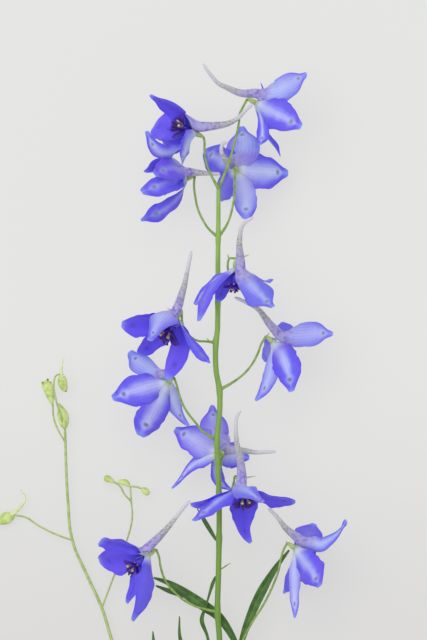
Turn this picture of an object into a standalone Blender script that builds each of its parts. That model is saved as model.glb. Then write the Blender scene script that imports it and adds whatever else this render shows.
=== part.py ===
# Delphinium flower spike, cut and laid on a surface.
#
# Sizes below are millimetres unless they say otherwise, and MM turns them into Blender's metres.
# The layout plane is the surface that the spike lies on: X runs across the spike, Y runs from the
# cut butt to the youngest flower, and Z is the height above the surface.

import bpy
import bmesh
from math import cos, radians, sin
from mathutils import Vector

MM = 0.001

# Driving dimensions
BLADE_THICKNESS = 0.7
HUB_RADIUS = 2.2
NODE_GAP = 0.3
STEM_BUTT_RADIUS = 1.4
STEM_TOP_RADIUS = 0.8
PEDICEL_ROOT_RADIUS = 0.7
PEDICEL_RADIUS = 0.45
NECK_RADIUS = 0.55
RECEPTACLE_RADIUS = 1.15
SEAT_RADIUS = 0.9
RECEPTACLE_LENGTH = 3.4
RECEPTACLE_BELLY = 1.4
SPUR_RADII = (1.6, 1.8, 1.6, 1.3, 1.0, 0.75, 0.6)
SPUR_RISE = 3.8
SHOOT_RADIUS = 0.75
SHOOT_TIP_RADIUS = 0.5
SHOOT_BRANCH_RADIUS = 0.4
BUD_SPUR_RADII = (0.8, 0.65, 0.5, 0.35)
BRACT_RADII = (0.45, 0.5, 0.3)
PETIOLE_RADII = (0.8, 0.7, 0.9)

# The point of the layout in the middle of the whole spike's footprint is the model's origin
LAYOUT_CENTRE = Vector((-19.0, 53.0, 0.0))

# The main stem's axis, from the cut butt to the top fork
STEM_AXIS = (
    (0.0, -125.0, 1.35),
    (0.0, -100.0, 3.4),
    (0.4, -60.0, 6.6),
    (0.6, -24.0, 9.8),
    (0.6, 0.0, 12.2),
    (-0.2, 11.0, 13.3),
    (0.2, 27.0, 14.9),
    (0.5, 50.0, 17.0),
    (0.1, 68.0, 18.8),
    (-0.4, 80.0, 20.0),
    (0.7, 92.0, 21.1),
    (0.6, 100.0, 21.9),
    (-0.8, 108.0, 22.6),
    (-0.9, 119.0, 23.6),
    (-0.2, 124.0, 24.1),
    (0.0, 156.0, 27.1),
    (0.1, 161.0, 27.6),
    (0.2, 180.5, 29.4),
)

# Each flower: where the pedicel ends, the way that the flower faces, the spur's points behind it,
# the five sepals as (tip, width, lean, sway), and the pedicel from the stem to the receptacle.
# lean turns a sepal's inner face up towards the sky, or down where it is negative, and sway, which
# most sepals lack, pulls its middle sideways.
FLOWERS = {
    "01": {
        "seat": (14.8, 215.0, 25.0),
        "facing": (0.89, -0.43, -0.18),
        "spur": ((9.2, 218.7, 26.0), (3.0, 221.2, 27.0), (0.0, 222.7, 28.0),
                 (-3.7, 227.0, 29.5), (-6.1, 230.6, 30.0)),
        "sepals": (
            ((35.6, 226.4, 27.4), 11.0, -1.0),
            ((33.6, 205.0, 39.0), 13.5, -0.3),
            ((16.8, 197.2, 37.0), 10.0, 0.0),
            ((25.6, 194.2, 13.5), 9.5, 0.2),
            ((17.2, 223.0, 3.0), 9.5, 0.2),
        ),
        "pedicel": ((0.2, 180.5, 29.4), (4.7, 192.0, 30.0), (6.1, 196.8, 29.8), (7.3, 201.6, 29.0),
                    (8.4, 207.2, 27.6), (8.8, 210.8, 26.6), (9.8, 212.8, 26.0)),
    },
    "02": {
        "seat": (-8.6, 202.4, 31.0),
        "facing": (-0.80, 0.34, 0.49),
        "spur": ((-1.2, 205.6, 31.5), (4.4, 206.6, 32.0), (8.6, 209.2, 32.0),
                 (11.5, 212.4, 31.5), (14.4, 214.4, 31.5)),
        "sepals": (
            ((-27.2, 217.0, 39.0), 10.5, 0.3),
            ((-26.4, 206.0, 14.0), 13.5, 0.0),
            ((-21.2, 195.6, 14.0), 12.0, 0.0),
            ((-28.2, 203.8, 38.0), 5.5, -0.6, (-7.0, -13.0, 2.0)),
            ((-15.0, 190.4, 48.0), 10.5, -0.4),
        ),
        "pedicel": ((0.2, 180.5, 29.4), (-2.8, 186.0, 30.0), (-4.5, 190.0, 30.4),
                    (-5.4, 195.6, 30.6), (-5.4, 199.2, 30.4)),
    },
    "03": {
        "seat": (-12.4, 184.6, 23.0),
        "facing": (-0.90, -0.34, 0.22),
        "spur": ((-10.4, 187.0, 24.5), (-6.6, 186.8, 26.0), (-1.2, 186.4, 27.0), (1.2, 186.4, 27.0)),
        "sepals": (
            ((-29.2, 186.8, 13.0), 11.5, 0.0, (0.0, 4.0, 0.0)),
            ((-25.0, 188.0, 40.5), 11.5, -0.3),
            ((-30.6, 178.4, 36.0), 12.0, -0.6),
            ((-31.2, 168.2, 24.0), 10.5, -2.0, (1.0, -3.0, -1.0)),
            ((-21.2, 174.4, 3.0), 11.0, 0.0),
        ),
        "pedicel": ((0.1, 161.0, 27.6), (-3.7, 164.4, 28.0), (-6.3, 168.4, 27.6), (-8.1, 172.6, 26.6),
                    (-9.2, 178.0, 25.0), (-9.6, 182.0, 23.6)),
    },
    "04": {
        "seat": (7.4, 188.2, 21.5),
        "facing": (0.19, -0.15, -0.97),
        "spur": ((3.2, 192.0, 27.0), (1.4, 195.0, 28.5), (1.6, 198.0, 29.0), (4.0, 199.4, 29.0)),
        "sepals": (
            ((9.6, 205.2, 5.0), 12.5, 0.0),
            ((27.6, 186.8, 9.0), 15.0, 0.0),
            ((10.4, 168.2, 17.0), 10.5, 0.0),
            ((1.6, 176.6, 0.0), 11.0, 0.0),
            ((-4.8, 195.4, 1.0), 12.5, 0.0),
        ),
        "pedicel": ((0.1, 161.0, 27.6), (3.7, 166.4, 27.8), (5.7, 172.6, 27.0), (6.6, 178.0, 26.0),
                    (6.8, 182.0, 25.2), (6.8, 186.0, 24.6)),
    },
    "05": {
        "seat": (7.0, 149.2, 35.0),
        "facing": (-0.05, -0.98, 0.10),
        "spur": ((9.0, 151.2, 38.5), (8.5, 158.0, 40.0), (8.8, 162.0, 40.5), (9.5, 165.2, 40.8),
                 (11.6, 167.6, 41.0), (14.4, 169.0, 41.0)),
        "sepals": (
            ((22.0, 132.8, 46.6), 14.0, -1.3),
            ((21.6, 143.6, 18.0), 11.0, 0.0),
            ((0.4, 135.0, 28.0), 7.0, 0.4),
            ((-8.8, 134.0, 31.5), 10.0, -0.3),
            ((-7.6, 127.2, 44.4), 10.5, -0.4),
        ),
        "pedicel": ((0.0, 136.0, 25.3), (3.6, 140.0, 28.0), (4.2, 146.0, 31.0), (3.9, 150.6, 33.0),
                    (4.7, 152.6, 34.0), (6.4, 152.6, 34.6)),
    },
    "06": {
        "seat": (-15.4, 129.4, 33.0),
        "facing": (-0.48, -0.80, 0.36),
        "spur": ((-15.8, 133.8, 36.0), (-14.8, 137.2, 36.5), (-13.4, 142.0, 37.0),
                 (-11.6, 150.8, 37.5), (-10.5, 155.8, 37.5)),
        "sepals": (
            ((-27.2, 119.6, 47.5), 10.5, -0.3, (-6.0, 5.0, 0.0)),
            ((-38.4, 126.2, 37.0), 12.5, 1.0),
            ((-31.6, 113.4, 20.0), 11.0, 0.2),
            ((-21.2, 104.4, 30.5), 11.0, 0.5),
            ((-3.2, 111.2, 43.0), 10.0, 0.0),
        ),
        "pedicel": ((-0.9, 119.0, 23.6), (-4.5, 119.4, 25.2), (-8.4, 119.8, 27.4), (-11.6, 122.0, 29.6),
                    (-14.0, 126.0, 31.6)),
    },
    "07": {
        "seat": (21.6, 119.6, 24.0),
        "facing": (0.71, -0.59, -0.39),
        "spur": ((20.8, 126.2, 26.0), (18.6, 129.2, 27.0), (16.0, 132.4, 28.0), (10.8, 135.2, 29.0),
                 (6.4, 137.2, 30.0)),
        "sepals": (
            ((46.0, 122.4, 27.4), 11.5, -1.0),
            ((29.6, 99.0, 36.7), 13.5, -0.2),
            ((15.2, 95.6, 18.5), 9.5, 0.0),
            ((18.8, 112.4, 0.0), 10.5, 0.0),
            ((27.6, 127.4, 1.0), 12.5, -0.9),
        ),
        "pedicel": ((0.6, 100.0, 21.9), (8.4, 104.8, 24.0), (12.8, 109.2, 25.0), (16.0, 114.8, 25.6),
                    (17.2, 118.2, 25.6), (18.6, 120.6, 25.4)),
    },
    "08": {
        "seat": (-19.6, 103.6, 23.0),
        "facing": (-0.57, -0.44, -0.70),
        "spur": ((-15.6, 107.0, 27.0), (-14.4, 110.0, 28.0), (-13.6, 114.0, 28.6), (-13.0, 117.5, 29.0)),
        "sepals": (
            ((-35.2, 115.4, 13.0), 9.5, -0.8),
            ((-42.2, 96.4, 25.0), 14.5, 0.0),
            ((-30.8, 82.0, 23.0), 13.5, 0.0),
            ((-12.0, 85.6, 14.5), 10.5, -0.3),
            ((-18.6, 101.2, 0.0), 10.0, 0.0),
        ),
        "pedicel": ((-0.4, 80.0, 20.0), (-5.4, 82.8, 21.6), (-9.2, 87.2, 23.2), (-13.2, 92.6, 24.6),
                    (-15.4, 97.8, 25.4), (-16.4, 101.6, 25.4)),
    },
    "09": {
        "seat": (2.4, 74.8, 15.6),
        "facing": (-0.48, -0.05, -0.88),
        "spur": ((6.4, 76.0, 19.0), (11.0, 75.6, 20.0), (15.6, 75.0, 21.0), (20.0, 75.2, 21.5),
                 (23.6, 75.4, 22.0)),
        "sepals": (
            ((-2.4, 93.6, 5.0), 12.0, 0.0),
            ((-17.2, 84.0, 10.0), 14.0, 0.0),
            ((-18.0, 60.2, 9.0), 7.5, 0.0, (0.0, 3.0, 0.0)),
            ((-1.2, 63.0, 0.5), 9.0, 0.0),
            ((12.0, 72.8, 1.0), 12.0, 0.0),
        ),
        "pedicel": ((0.5, 57.0, 17.7), (1.6, 62.0, 16.8), (2.6, 67.0, 17.0), (3.4, 71.6, 17.6)),
    },
    "10": {
        "seat": (8.8, 62.4, 24.0),
        "facing": (0.05, -0.92, 0.39),
        "spur": ((9.4, 67.0, 27.6), (8.8, 73.0, 28.4), (7.8, 77.0, 28.6), (7.1, 84.0, 29.0),
                 (7.6, 89.6, 29.0), (9.4, 91.8, 29.0)),
        "sepals": (
            ((18.0, 54.6, 44.0), 12.0, -1.0),
            ((30.8, 55.2, 25.0), 10.5, 0.0),
            ((13.2, 38.8, 14.0), 11.5, 0.0),
            ((-11.0, 53.6, 26.0), 8.0, 0.0),
            ((-9.8, 47.2, 38.0), 10.5, -0.4),
        ),
        "pedicel": ((0.4, 40.0, 15.6), (0.4, 44.0, 14.6), (0.5, 50.0, 15.0), (1.8, 56.0, 15.8),
                    (4.6, 61.0, 17.4), (6.2, 65.0, 20.4)),
    },
    "11": {
        "seat": (-27.4, 34.2, 22.0),
        "facing": (-0.76, -0.62, 0.18),
        "spur": ((-23.6, 41.2, 24.6), (-19.4, 45.8, 25.4), (-15.2, 51.2, 26.0), (-11.0, 56.2, 26.5)),
        "sepals": (
            ((-47.4, 40.2, 35.0), 10.5, -1.0),
            ((-48.0, 31.8, 11.0), 13.0, 0.3),
            ((-37.2, 14.4, 8.5), 10.5, 0.0),
            ((-34.8, 8.0, 26.0), 11.5, -0.5),
            ((-29.2, 14.4, 38.5), 12.0, -0.3),
        ),
        "pedicel": ((-0.2, 11.0, 13.3), (-5.3, 12.2, 14.4), (-11.0, 14.2, 16.0), (-16.8, 18.4, 17.8),
                    (-21.0, 23.6, 19.4), (-23.0, 29.4, 20.8), (-23.6, 33.2, 21.4)),
    },
    "12": {
        "seat": (30.4, 37.0, 21.0),
        "facing": (0.77, -0.54, -0.34),
        "spur": ((27.4, 44.4, 23.0), (23.6, 49.2, 24.0), (20.0, 52.8, 25.0)),
        "sepals": (
            ((51.6, 48.0, 27.0), 10.0, -0.8, (2.0, -5.0, 0.0)),
            ((41.2, 20.8, 36.5), 14.5, -0.2),
            ((31.0, 8.8, 22.0), 8.5, 0.0),
            ((27.0, 19.2, 3.0), 10.5, 0.0),
            ((38.4, 46.8, 0.0), 14.5, -1.2),
        ),
        "pedicel": ((0.6, -24.0, 9.8), (5.6, -11.2, 11.6), (10.3, 0.4, 13.4), (13.9, 7.2, 15.0),
                    (18.2, 14.0, 17.0), (21.4, 20.4, 18.8), (24.2, 27.6, 20.6), (25.3, 32.8, 21.6),
                    (26.4, 36.4, 22.2)),
    },
}

# Small bracts, as (root, tip) on the stem and the pedicels
BRACTS = (
    ((-0.6, 39.6, 15.6), (-8.4, 52.4, 4.0)),
    ((0.9, 28.0, 15.0), (5.2, 30.8, 17.0)),
    ((8.9, 211.4, 26.5), (12.0, 216.6, 24.0)),
    ((4.2, 152.4, 33.6), (3.6, 155.6, 33.6)),
    ((17.4, 118.6, 25.7), (20.6, 123.0, 24.0)),
    ((-3.4, 119.4, 24.8), (-4.4, 122.4, 25.6)),
    ((6.1, 62.4, 18.4), (5.6, 66.0, 19.0)),
    ((25.6, 33.6, 21.8), (27.6, 39.6, 20.0)),
)

# The side shoot: its own axis, its pedicels and its pale green buds
SHOOT_AXIS = (
    (-2.5, -97.0, 3.6), (-5.2, -90.0, 3.8), (-16.0, -72.0, 3.8), (-26.4, -48.0, 3.6),
    (-35.2, -24.0, 3.4), (-42.8, 0.0, 3.2), (-46.6, 12.4, 3.2), (-52.8, 26.0, 3.2),
    (-58.5, 39.6, 3.2), (-60.2, 55.0, 3.4), (-60.9, 68.0, 3.8), (-61.2, 77.2, 4.2),
    (-61.4, 84.0, 4.4),
)
SHOOT_BRANCHES = (
    ((-46.6, 12.4, 3.2), (-43.6, 20.4, 3.6), (-41.3, 26.4, 4.0), (-36.8, 38.8, 4.4),
     (-34.4, 48.8, 4.6), (-34.8, 55.0, 4.6), (-35.2, 61.2, 4.6)),
    ((-58.5, 39.6, 3.2), (-64.2, 41.6, 3.2), (-72.0, 45.4, 3.0), (-77.2, 48.8, 2.8),
     (-81.6, 49.6, 2.6)),
    ((-61.5, 79.3, 4.3), (-63.6, 82.8, 4.4), (-65.8, 88.2, 4.4), (-66.4, 94.6, 4.4)),
    ((-61.4, 84.0, 4.4), (-63.2, 90.0, 7.2), (-65.2, 97.0, 8.6), (-65.8, 103.0, 8.6),
     (-64.6, 106.0, 8.0), (-62.6, 105.8, 7.2)),
    ((-35.2, 55.8, 4.6), (-38.2, 59.6, 4.8), (-41.3, 63.0, 4.8)),
    ((-35.0, 60.4, 4.6), (-32.6, 61.2, 4.6), (-30.6, 60.4, 4.4)),
)
# Each bud: its points from the stalk to its tip, and the radius at each
BUDS = (
    (((-81.2, 49.6, 2.6), (-82.6, 49.3, 2.6), (-85.0, 48.4, 2.5), (-90.0, 46.4, 2.5)),
     (0.5, 1.5, 2.5, 0.7)),
    (((-66.4, 94.0, 4.4), (-66.7, 96.4, 4.4), (-67.4, 100.0, 4.4), (-68.8, 104.2, 4.4)),
     (0.5, 1.5, 2.2, 1.3)),
    (((-62.8, 106.2, 7.2), (-62.3, 105.0, 7.0), (-61.5, 102.4, 6.6), (-60.3, 99.4, 6.2)),
     (0.5, 1.5, 1.9, 0.8)),
    (((-61.4, 83.6, 4.4), (-61.1, 86.4, 4.4), (-61.3, 89.6, 4.2), (-62.4, 94.4, 4.0)),
     (0.5, 1.8, 2.2, 0.6)),
    (((-35.2, 61.0, 4.6), (-36.2, 62.2, 4.6), (-37.8, 62.9, 4.6), (-40.4, 63.3, 4.6)),
     (0.5, 1.1, 1.3, 0.5)),
    (((-41.0, 62.8, 4.8), (-42.0, 63.4, 4.8), (-43.2, 63.9, 4.8), (-44.8, 64.6, 4.8)),
     (0.5, 1.2, 1.4, 0.8)),
    (((-30.8, 60.5, 4.4), (-30.0, 60.0, 4.4), (-29.0, 59.2, 4.4), (-27.6, 58.0, 4.4)),
     (0.5, 1.1, 1.4, 0.9)),
)
BUD_SPURS = (
    ((-83.4, 49.6, 3.2), (-79.4, 53.2, 3.2), (-77.6, 56.4, 3.0), (-79.6, 59.8, 3.0)),
    ((-62.0, 104.6, 7.6), (-62.4, 108.6, 7.6), (-61.4, 112.4, 7.4)),
)

# Leaves: each lobe as its midrib points and its full widths
LEAVES = {
    "leaf_right": {
        "petiole": ((2.4, -24.0, 8.1), (5.0, -14.0, 7.4), (8.8, -5.0, 7.6)),
        "lobes": (
            (((8.0, -6.5, 7.5), (11.6, 4.0, 8.4), (17.2, 17.0, 9.0), (23.6, 28.6, 10.0),
              (28.6, 35.8, 11.0)), (1.6, 3.2, 4.6, 3.0, 0.8)),
            (((9.0, -6.5, 7.5), (6.0, 0.6, 8.6), (0.6, 8.8, 9.4), (-5.0, 13.0, 9.4),
              (-11.6, 17.4, 8.8), (-19.0, 22.2, 7.6), (-25.9, 24.6, 5.6)),
             (1.6, 2.8, 4.0, 4.6, 4.4, 2.6, 0.8)),
            (((-12.0, 17.0, 8.8), (-18.6, 19.0, 7.4), (-25.0, 21.4, 5.6)), (2.0, 2.2, 0.7)),
        ),
    },
    "leaf_left": {
        "petiole": ((-1.3, -48.0, 5.9), (-3.8, -34.0, 5.6), (-6.0, -20.0, 6.2)),
        "lobes": (
            (((-6.0, -21.5, 6.2), (-3.8, -8.0, 8.0), (-5.2, 2.0, 10.0), (-7.2, 8.2, 11.4),
              (-5.2, 12.6, 11.8), (-3.5, 18.0, 12.0), (-1.9, 24.6, 12.2)),
             (1.4, 2.2, 2.2, 2.0, 1.8, 1.8, 0.7)),
            (((-5.6, -21.5, 6.2), (-11.0, -6.0, 6.4), (-15.4, 9.2, 7.4)), (1.6, 3.4, 0.7)),
            (((-5.6, -21.5, 6.2), (-15.6, -9.0, 5.6), (-26.0, 2.8, 5.6)), (1.6, 3.6, 0.7)),
            (((-5.4, -21.0, 6.2), (-14.0, -18.0, 5.0), (-23.0, -15.0, 4.4)), (1.6, 3.0, 0.7)),
            (((-6.2, -21.5, 6.2), (2.4, -12.0, 5.0), (5.4, -2.6, 4.6)), (1.6, 2.8, 0.7)),
        ),
    },
}


def millimetres(point):
    """A point of the layout, in metres, with the whole spike centred on the origin."""
    return (Vector(point) - LAYOUT_CENTRE) * MM


def principled(name, colour, roughness):
    material = bpy.data.materials.new(name)
    material.use_nodes = True
    shader = material.node_tree.nodes["Principled BSDF"]
    shader.inputs["Base Color"].default_value = (*colour, 1.0)
    shader.inputs["Roughness"].default_value = roughness
    return material


def mesh_object(name, mesh):
    piece = bpy.data.objects.new(name, mesh)
    bpy.context.scene.collection.objects.link(piece)
    return piece


def evaluated_mesh(piece):
    """The piece's mesh with its curve bevel or its modifiers worked out."""
    bpy.context.view_layer.update()
    graph = bpy.context.evaluated_depsgraph_get()
    return bpy.data.meshes.new_from_object(piece.evaluated_get(graph))


def close_seams(mesh):
    """Join a curve's end caps to its wall."""
    bm = bmesh.new()
    bm.from_mesh(mesh)
    bmesh.ops.remove_doubles(bm, verts=bm.verts, dist=0.001 * MM)
    bm.to_mesh(mesh)
    bm.free()


def tube(name, points, radii, sides, resolution=2):
    """A closed round tube along a smooth curve through the points."""
    curve = bpy.data.curves.new(name, "CURVE")
    curve.dimensions = "3D"
    curve.bevel_depth = MM
    curve.bevel_resolution = sides // 2 - 2
    curve.use_fill_caps = True
    curve.resolution_u = resolution
    spline = curve.splines.new("BEZIER")
    spline.bezier_points.add(len(points) - 1)
    for knot, point, radius in zip(spline.bezier_points, points, radii):
        knot.co = millimetres(point)
        knot.radius = radius
        knot.handle_left_type = "AUTO"
        knot.handle_right_type = "AUTO"
    guide = mesh_object(name + "_curve", curve)
    mesh = evaluated_mesh(guide)
    bpy.data.objects.remove(guide)
    close_seams(mesh)
    return mesh_object(name, mesh)


def ball(name, centre, radius, subdivisions):
    mesh = bpy.data.meshes.new(name)
    bm = bmesh.new()
    bmesh.ops.create_icosphere(bm, subdivisions=subdivisions, radius=radius * MM)
    bmesh.ops.translate(bm, verts=bm.verts, vec=millimetres(centre))
    bm.to_mesh(mesh)
    bm.free()
    return mesh_object(name, mesh)


def blade(name, midrib, frames, widths, channel):
    """A thin plate along a midrib, its edges lifted by channel, split alike on both faces."""
    bm = bmesh.new()
    rows = []
    for point, (across, lift), width in zip(midrib, frames, widths):
        edge = across * width * 0.5
        rise = lift * width * channel
        rows.append([bm.verts.new(millimetres(place)) for place in
                     (point - edge + rise, point, point + edge + rise)])
    for near, far in zip(rows, rows[1:]):
        for left in (0, 1):
            bm.faces.new((near[left], near[left + 1], far[left + 1]))
            bm.faces.new((near[left], far[left + 1], far[left]))
    mesh = bpy.data.meshes.new(name)
    bm.to_mesh(mesh)
    bm.free()
    piece = mesh_object(name, mesh)
    wall = piece.modifiers.new("wall", "SOLIDIFY")
    wall.thickness = BLADE_THICKNESS * MM
    wall.offset = 0.0
    piece.data = evaluated_mesh(piece)
    piece.modifiers.clear()
    return piece


def grow_together(name, pieces, material):
    """One body from pieces that overlap: a Boolean union on their collection."""
    body, *grown = pieces
    roots = bpy.data.collections.new(name + "_roots")
    for piece in grown:
        roots.objects.link(piece)
    union = body.modifiers.new("grow", "BOOLEAN")
    union.operation = "UNION"
    union.operand_type = "COLLECTION"
    union.collection = roots
    body.data = evaluated_mesh(body)
    body.modifiers.clear()
    for piece in grown:
        bpy.data.objects.remove(piece)
    bpy.data.collections.remove(roots)
    rest_on_surface(body)
    body.name = name
    body.data.name = name
    body.data.materials.clear()
    body.data.materials.append(material)
    return body


def rest_on_surface(body):
    """Flatten what would reach below the surface into a small flat spot at Z 0."""
    if min(vertex.co.z for vertex in body.data.vertices) >= 0.0:
        return
    bm = bmesh.new()
    bm.from_mesh(body.data)
    everything = bm.verts[:] + bm.edges[:] + bm.faces[:]
    cut = bmesh.ops.bisect_plane(bm, geom=everything, plane_co=(0, 0, 0), plane_no=(0, 0, -1),
                                 clear_outer=True)
    rim = [part for part in cut["geom_cut"] if isinstance(part, bmesh.types.BMEdge)]
    bmesh.ops.contextual_create(bm, geom=rim)
    bm.to_mesh(body.data)
    bm.free()


def between(values, fraction):
    """The value at a fraction of the way along a list of evenly spaced values."""
    place = fraction * (len(values) - 1)
    low = min(int(place), len(values) - 2)
    return values[low] + (values[low + 1] - values[low]) * (place - low)


def bezier(start, control, end, fraction):
    rest = 1.0 - fraction
    return start * rest * rest + control * 2.0 * rest * fraction + end * fraction * fraction


def steps(points):
    """The way ahead at each point of a row of points."""
    last = len(points) - 1
    return [points[min(index + 1, last)] - points[max(index - 1, 0)] for index in range(last + 1)]


# A sepal's outline: how far along it each row lies, and how wide it is there
SEPAL_ROWS = (0.0, 0.18, 0.40, 0.66, 0.88, 1.0)
SEPAL_OUTLINE = (0.22, 0.42, 0.84, 1.0, 0.60, 0.12)
SEPAL_LEAST_WIDTH = 1.2
SEPAL_CHANNEL = 0.10
# It starts this far out inside the hub, and bows outwards and forwards by these shares of its reach
SEPAL_ROOT = 0.9
SEPAL_BOW_OUT = 0.44
SEPAL_BOW_FORWARD = 0.16
SKY = Vector((0, 0, 1))


def sepal(name, hub, facing, spec):
    tip, width, lean, *sway = spec
    tip = Vector(tip)
    reach = tip - hub
    outward = (reach - facing * reach.dot(facing)).normalized()
    start = hub + outward * SEPAL_ROOT
    control = hub + (outward * SEPAL_BOW_OUT + facing * SEPAL_BOW_FORWARD) * reach.length
    for pull in sway:
        control += Vector(pull)
    midrib = [bezier(start, control, tip, row) for row in SEPAL_ROWS]
    frames = []
    lift = facing
    row_before = 0.0
    for row, ahead in zip(SEPAL_ROWS, steps(midrib)):
        along = ahead.normalized()
        lift = lift + SKY * lean * (row - row_before)
        lift = (lift - along * lift.dot(along)).normalized()
        frames.append((along.cross(lift).normalized(), lift))
        row_before = row
    widths = [max(width * share, SEPAL_LEAST_WIDTH) for share in SEPAL_OUTLINE]
    return blade(name, midrib, frames, widths, SEPAL_CHANNEL)


def flower_frame(spec):
    """The middle of a flower's hub, the way it faces, and the way its spur rises."""
    facing = Vector(spec["facing"]).normalized()
    hub = Vector(spec["seat"]) + facing * (NODE_GAP + HUB_RADIUS)
    rise = Vector(spec["spur"][0]) - hub
    rise = (rise - facing * rise.dot(facing)).normalized()
    return hub, facing, rise


# The spur's root inside the hub, up towards its shoulder and forwards
SPUR_ROOT_RISE = 0.8
SPUR_ROOT_FORWARD = 0.4


def spur(name, spec):
    hub, facing, rise = flower_frame(spec)
    root = hub + rise * SPUR_ROOT_RISE + facing * SPUR_ROOT_FORWARD
    shoulder = Vector(spec["seat"]) + rise * SPUR_RISE
    points = [root, shoulder] + [Vector(point) for point in spec["spur"]]
    radii = [between(SPUR_RADII, index / (len(points) - 1)) for index in range(len(points))]
    return tube(name, points, radii, 6, 1)


def flower_sepals(label, spec, material):
    hub, facing, rise = flower_frame(spec)
    pieces = [ball("hub", hub, HUB_RADIUS, 2), spur("spur", spec)]
    pieces += [sepal("sepal", hub, facing, sepal_spec) for sepal_spec in spec["sepals"]]
    return grow_together("bloom_" + label + "_sepals", pieces, material)


# The eye's bunch of stamens, from the back of its root: how far forwards, how far up, and its radius
EYE_ROOT_RADIUS = 1.4
STAMENS = ((-EYE_ROOT_RADIUS, 0.0, 0.7), (0.0, 0.0, EYE_ROOT_RADIUS), (2.4, -0.4, 1.0), (3.9, -0.8, 1.1))
# The four small petals of the eye: clock angle from the spur's side, lean outwards, length, width
EYE_PETALS = ((30, 33, 4.2, 3.5), (-35, 35, 4.3, 3.6), (122, 40, 5.0, 4.6), (-127, 38, 5.1, 4.7))
EYE_PETAL_ROWS = (0.0, 0.7, 1.0)
EYE_PETAL_OUTLINE = (0.35, 1.0, 0.6)
EYE_PETAL_ROOT = 0.5
EYE_CHANNEL = 0.12


def flower_eye(label, spec, material):
    hub, facing, rise = flower_frame(spec)
    across = facing.cross(rise)
    root = hub + facing * (HUB_RADIUS + NODE_GAP + EYE_ROOT_RADIUS)
    stamens = [root + facing * forward + rise * up for forward, up, radius in STAMENS]
    radii = [radius for forward, up, radius in STAMENS]
    pieces = [tube("stamens", stamens, radii, 6, 1)]
    for clock, lean, length, width in EYE_PETALS:
        outward = rise * cos(radians(clock)) + across * sin(radians(clock))
        along = facing * cos(radians(lean)) + outward * sin(radians(lean))
        lift = facing * sin(radians(lean)) - outward * cos(radians(lean))
        start = root + outward * EYE_PETAL_ROOT
        midrib = [start + along * length * share for share in EYE_PETAL_ROWS]
        frames = [(along.cross(lift).normalized(), lift)] * len(midrib)
        widths = [width * share for share in EYE_PETAL_OUTLINE]
        pieces.append(blade("eye_petal", midrib, frames, widths, EYE_CHANNEL))
    return grow_together("bloom_" + label + "_eye", pieces, material)


def pedicel(spec):
    """A flower's stalk, swelling into the receptacle that ends at the seat."""
    facing = Vector(spec["facing"]).normalized()
    seat = Vector(spec["seat"])
    points = [Vector(point) for point in spec["pedicel"]]
    radii = [PEDICEL_ROOT_RADIUS] + [PEDICEL_RADIUS] * (len(points) - 1)
    points += [seat - facing * RECEPTACLE_LENGTH, seat - facing * RECEPTACLE_BELLY, seat]
    radii += [NECK_RADIUS, RECEPTACLE_RADIUS, SEAT_RADIUS]
    return tube("pedicel", points, radii, 6, 1)


def bract(root, tip):
    root = Vector(root)
    tip = Vector(tip)
    return tube("bract", (root, root.lerp(tip, 0.5), tip), BRACT_RADII, 4, 1)


def tapered(points, start_radius, end_radius):
    """The radius at each point, from the first to the last."""
    last = len(points) - 1
    return [start_radius + (end_radius - start_radius) * index / last for index in range(last + 1)]


def main_stem(material):
    radii = tapered(STEM_AXIS, STEM_BUTT_RADIUS, STEM_TOP_RADIUS)
    pieces = [tube("stem", STEM_AXIS, radii, 8)]
    pieces += [pedicel(spec) for spec in FLOWERS.values()]
    pieces += [bract(root, tip) for root, tip in BRACTS]
    return grow_together("main_stem", pieces, material)


def side_shoot(material):
    radii = tapered(SHOOT_AXIS, SHOOT_RADIUS, SHOOT_TIP_RADIUS)
    pieces = [tube("shoot", SHOOT_AXIS, radii, 6, 1)]
    for points in SHOOT_BRANCHES:
        pieces.append(tube("branch", points, [SHOOT_BRANCH_RADIUS] * len(points), 6, 1))
    for points, radii in BUDS:
        pieces.append(tube("bud", points, radii, 6))
    for points in BUD_SPURS:
        pieces.append(tube("bud_spur", points, BUD_SPUR_RADII, 6, 1))
    return grow_together("side_shoot", pieces, material)


LOBE_CHANNEL = 0.08


def lobe(points, widths):
    """A narrow leaf lobe that lies level, with its edges lifted a little."""
    midrib = [Vector(point) for point in points]
    frames = []
    for ahead in steps(midrib):
        across = ahead.cross(SKY).normalized()
        frames.append((across, across.cross(ahead).normalized()))
    return blade("lobe", midrib, frames, widths, LOBE_CHANNEL)


def leaf(name, spec, material):
    pieces = [tube("petiole", spec["petiole"], PETIOLE_RADII, 6)]
    pieces += [lobe(points, widths) for points, widths in spec["lobes"]]
    return grow_together(name, pieces, material)


def build():
    for old in list(bpy.data.objects):
        bpy.data.objects.remove(old)
    sepal_blue = principled("sepal_blue", (0.10, 0.07, 0.72), 0.55)
    eye_indigo = principled("eye_indigo", (0.02, 0.01, 0.14), 0.6)
    stem_green = principled("stem_green", (0.22, 0.34, 0.09), 0.5)
    bud_green = principled("bud_green", (0.50, 0.65, 0.22), 0.5)
    leaf_green = principled("leaf_green", (0.07, 0.12, 0.05), 0.5)
    main_stem(stem_green)
    side_shoot(bud_green)
    for label, spec in FLOWERS.items():
        flower_sepals(label, spec, sepal_blue)
        flower_eye(label, spec, eye_indigo)
    for name, spec in LEAVES.items():
        leaf(name, spec, leaf_green)


build()
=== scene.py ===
# %% [markdown]
# # A delphinium flower spike
# The part is a cut spike of a loose, single delphinium, laid on a pale surface. A camera far above looks
# straight down on it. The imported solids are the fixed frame, and every piece made here stands for one
# of them, at its place and near its form, with the thin petals, veins and colours of the real one.

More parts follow.
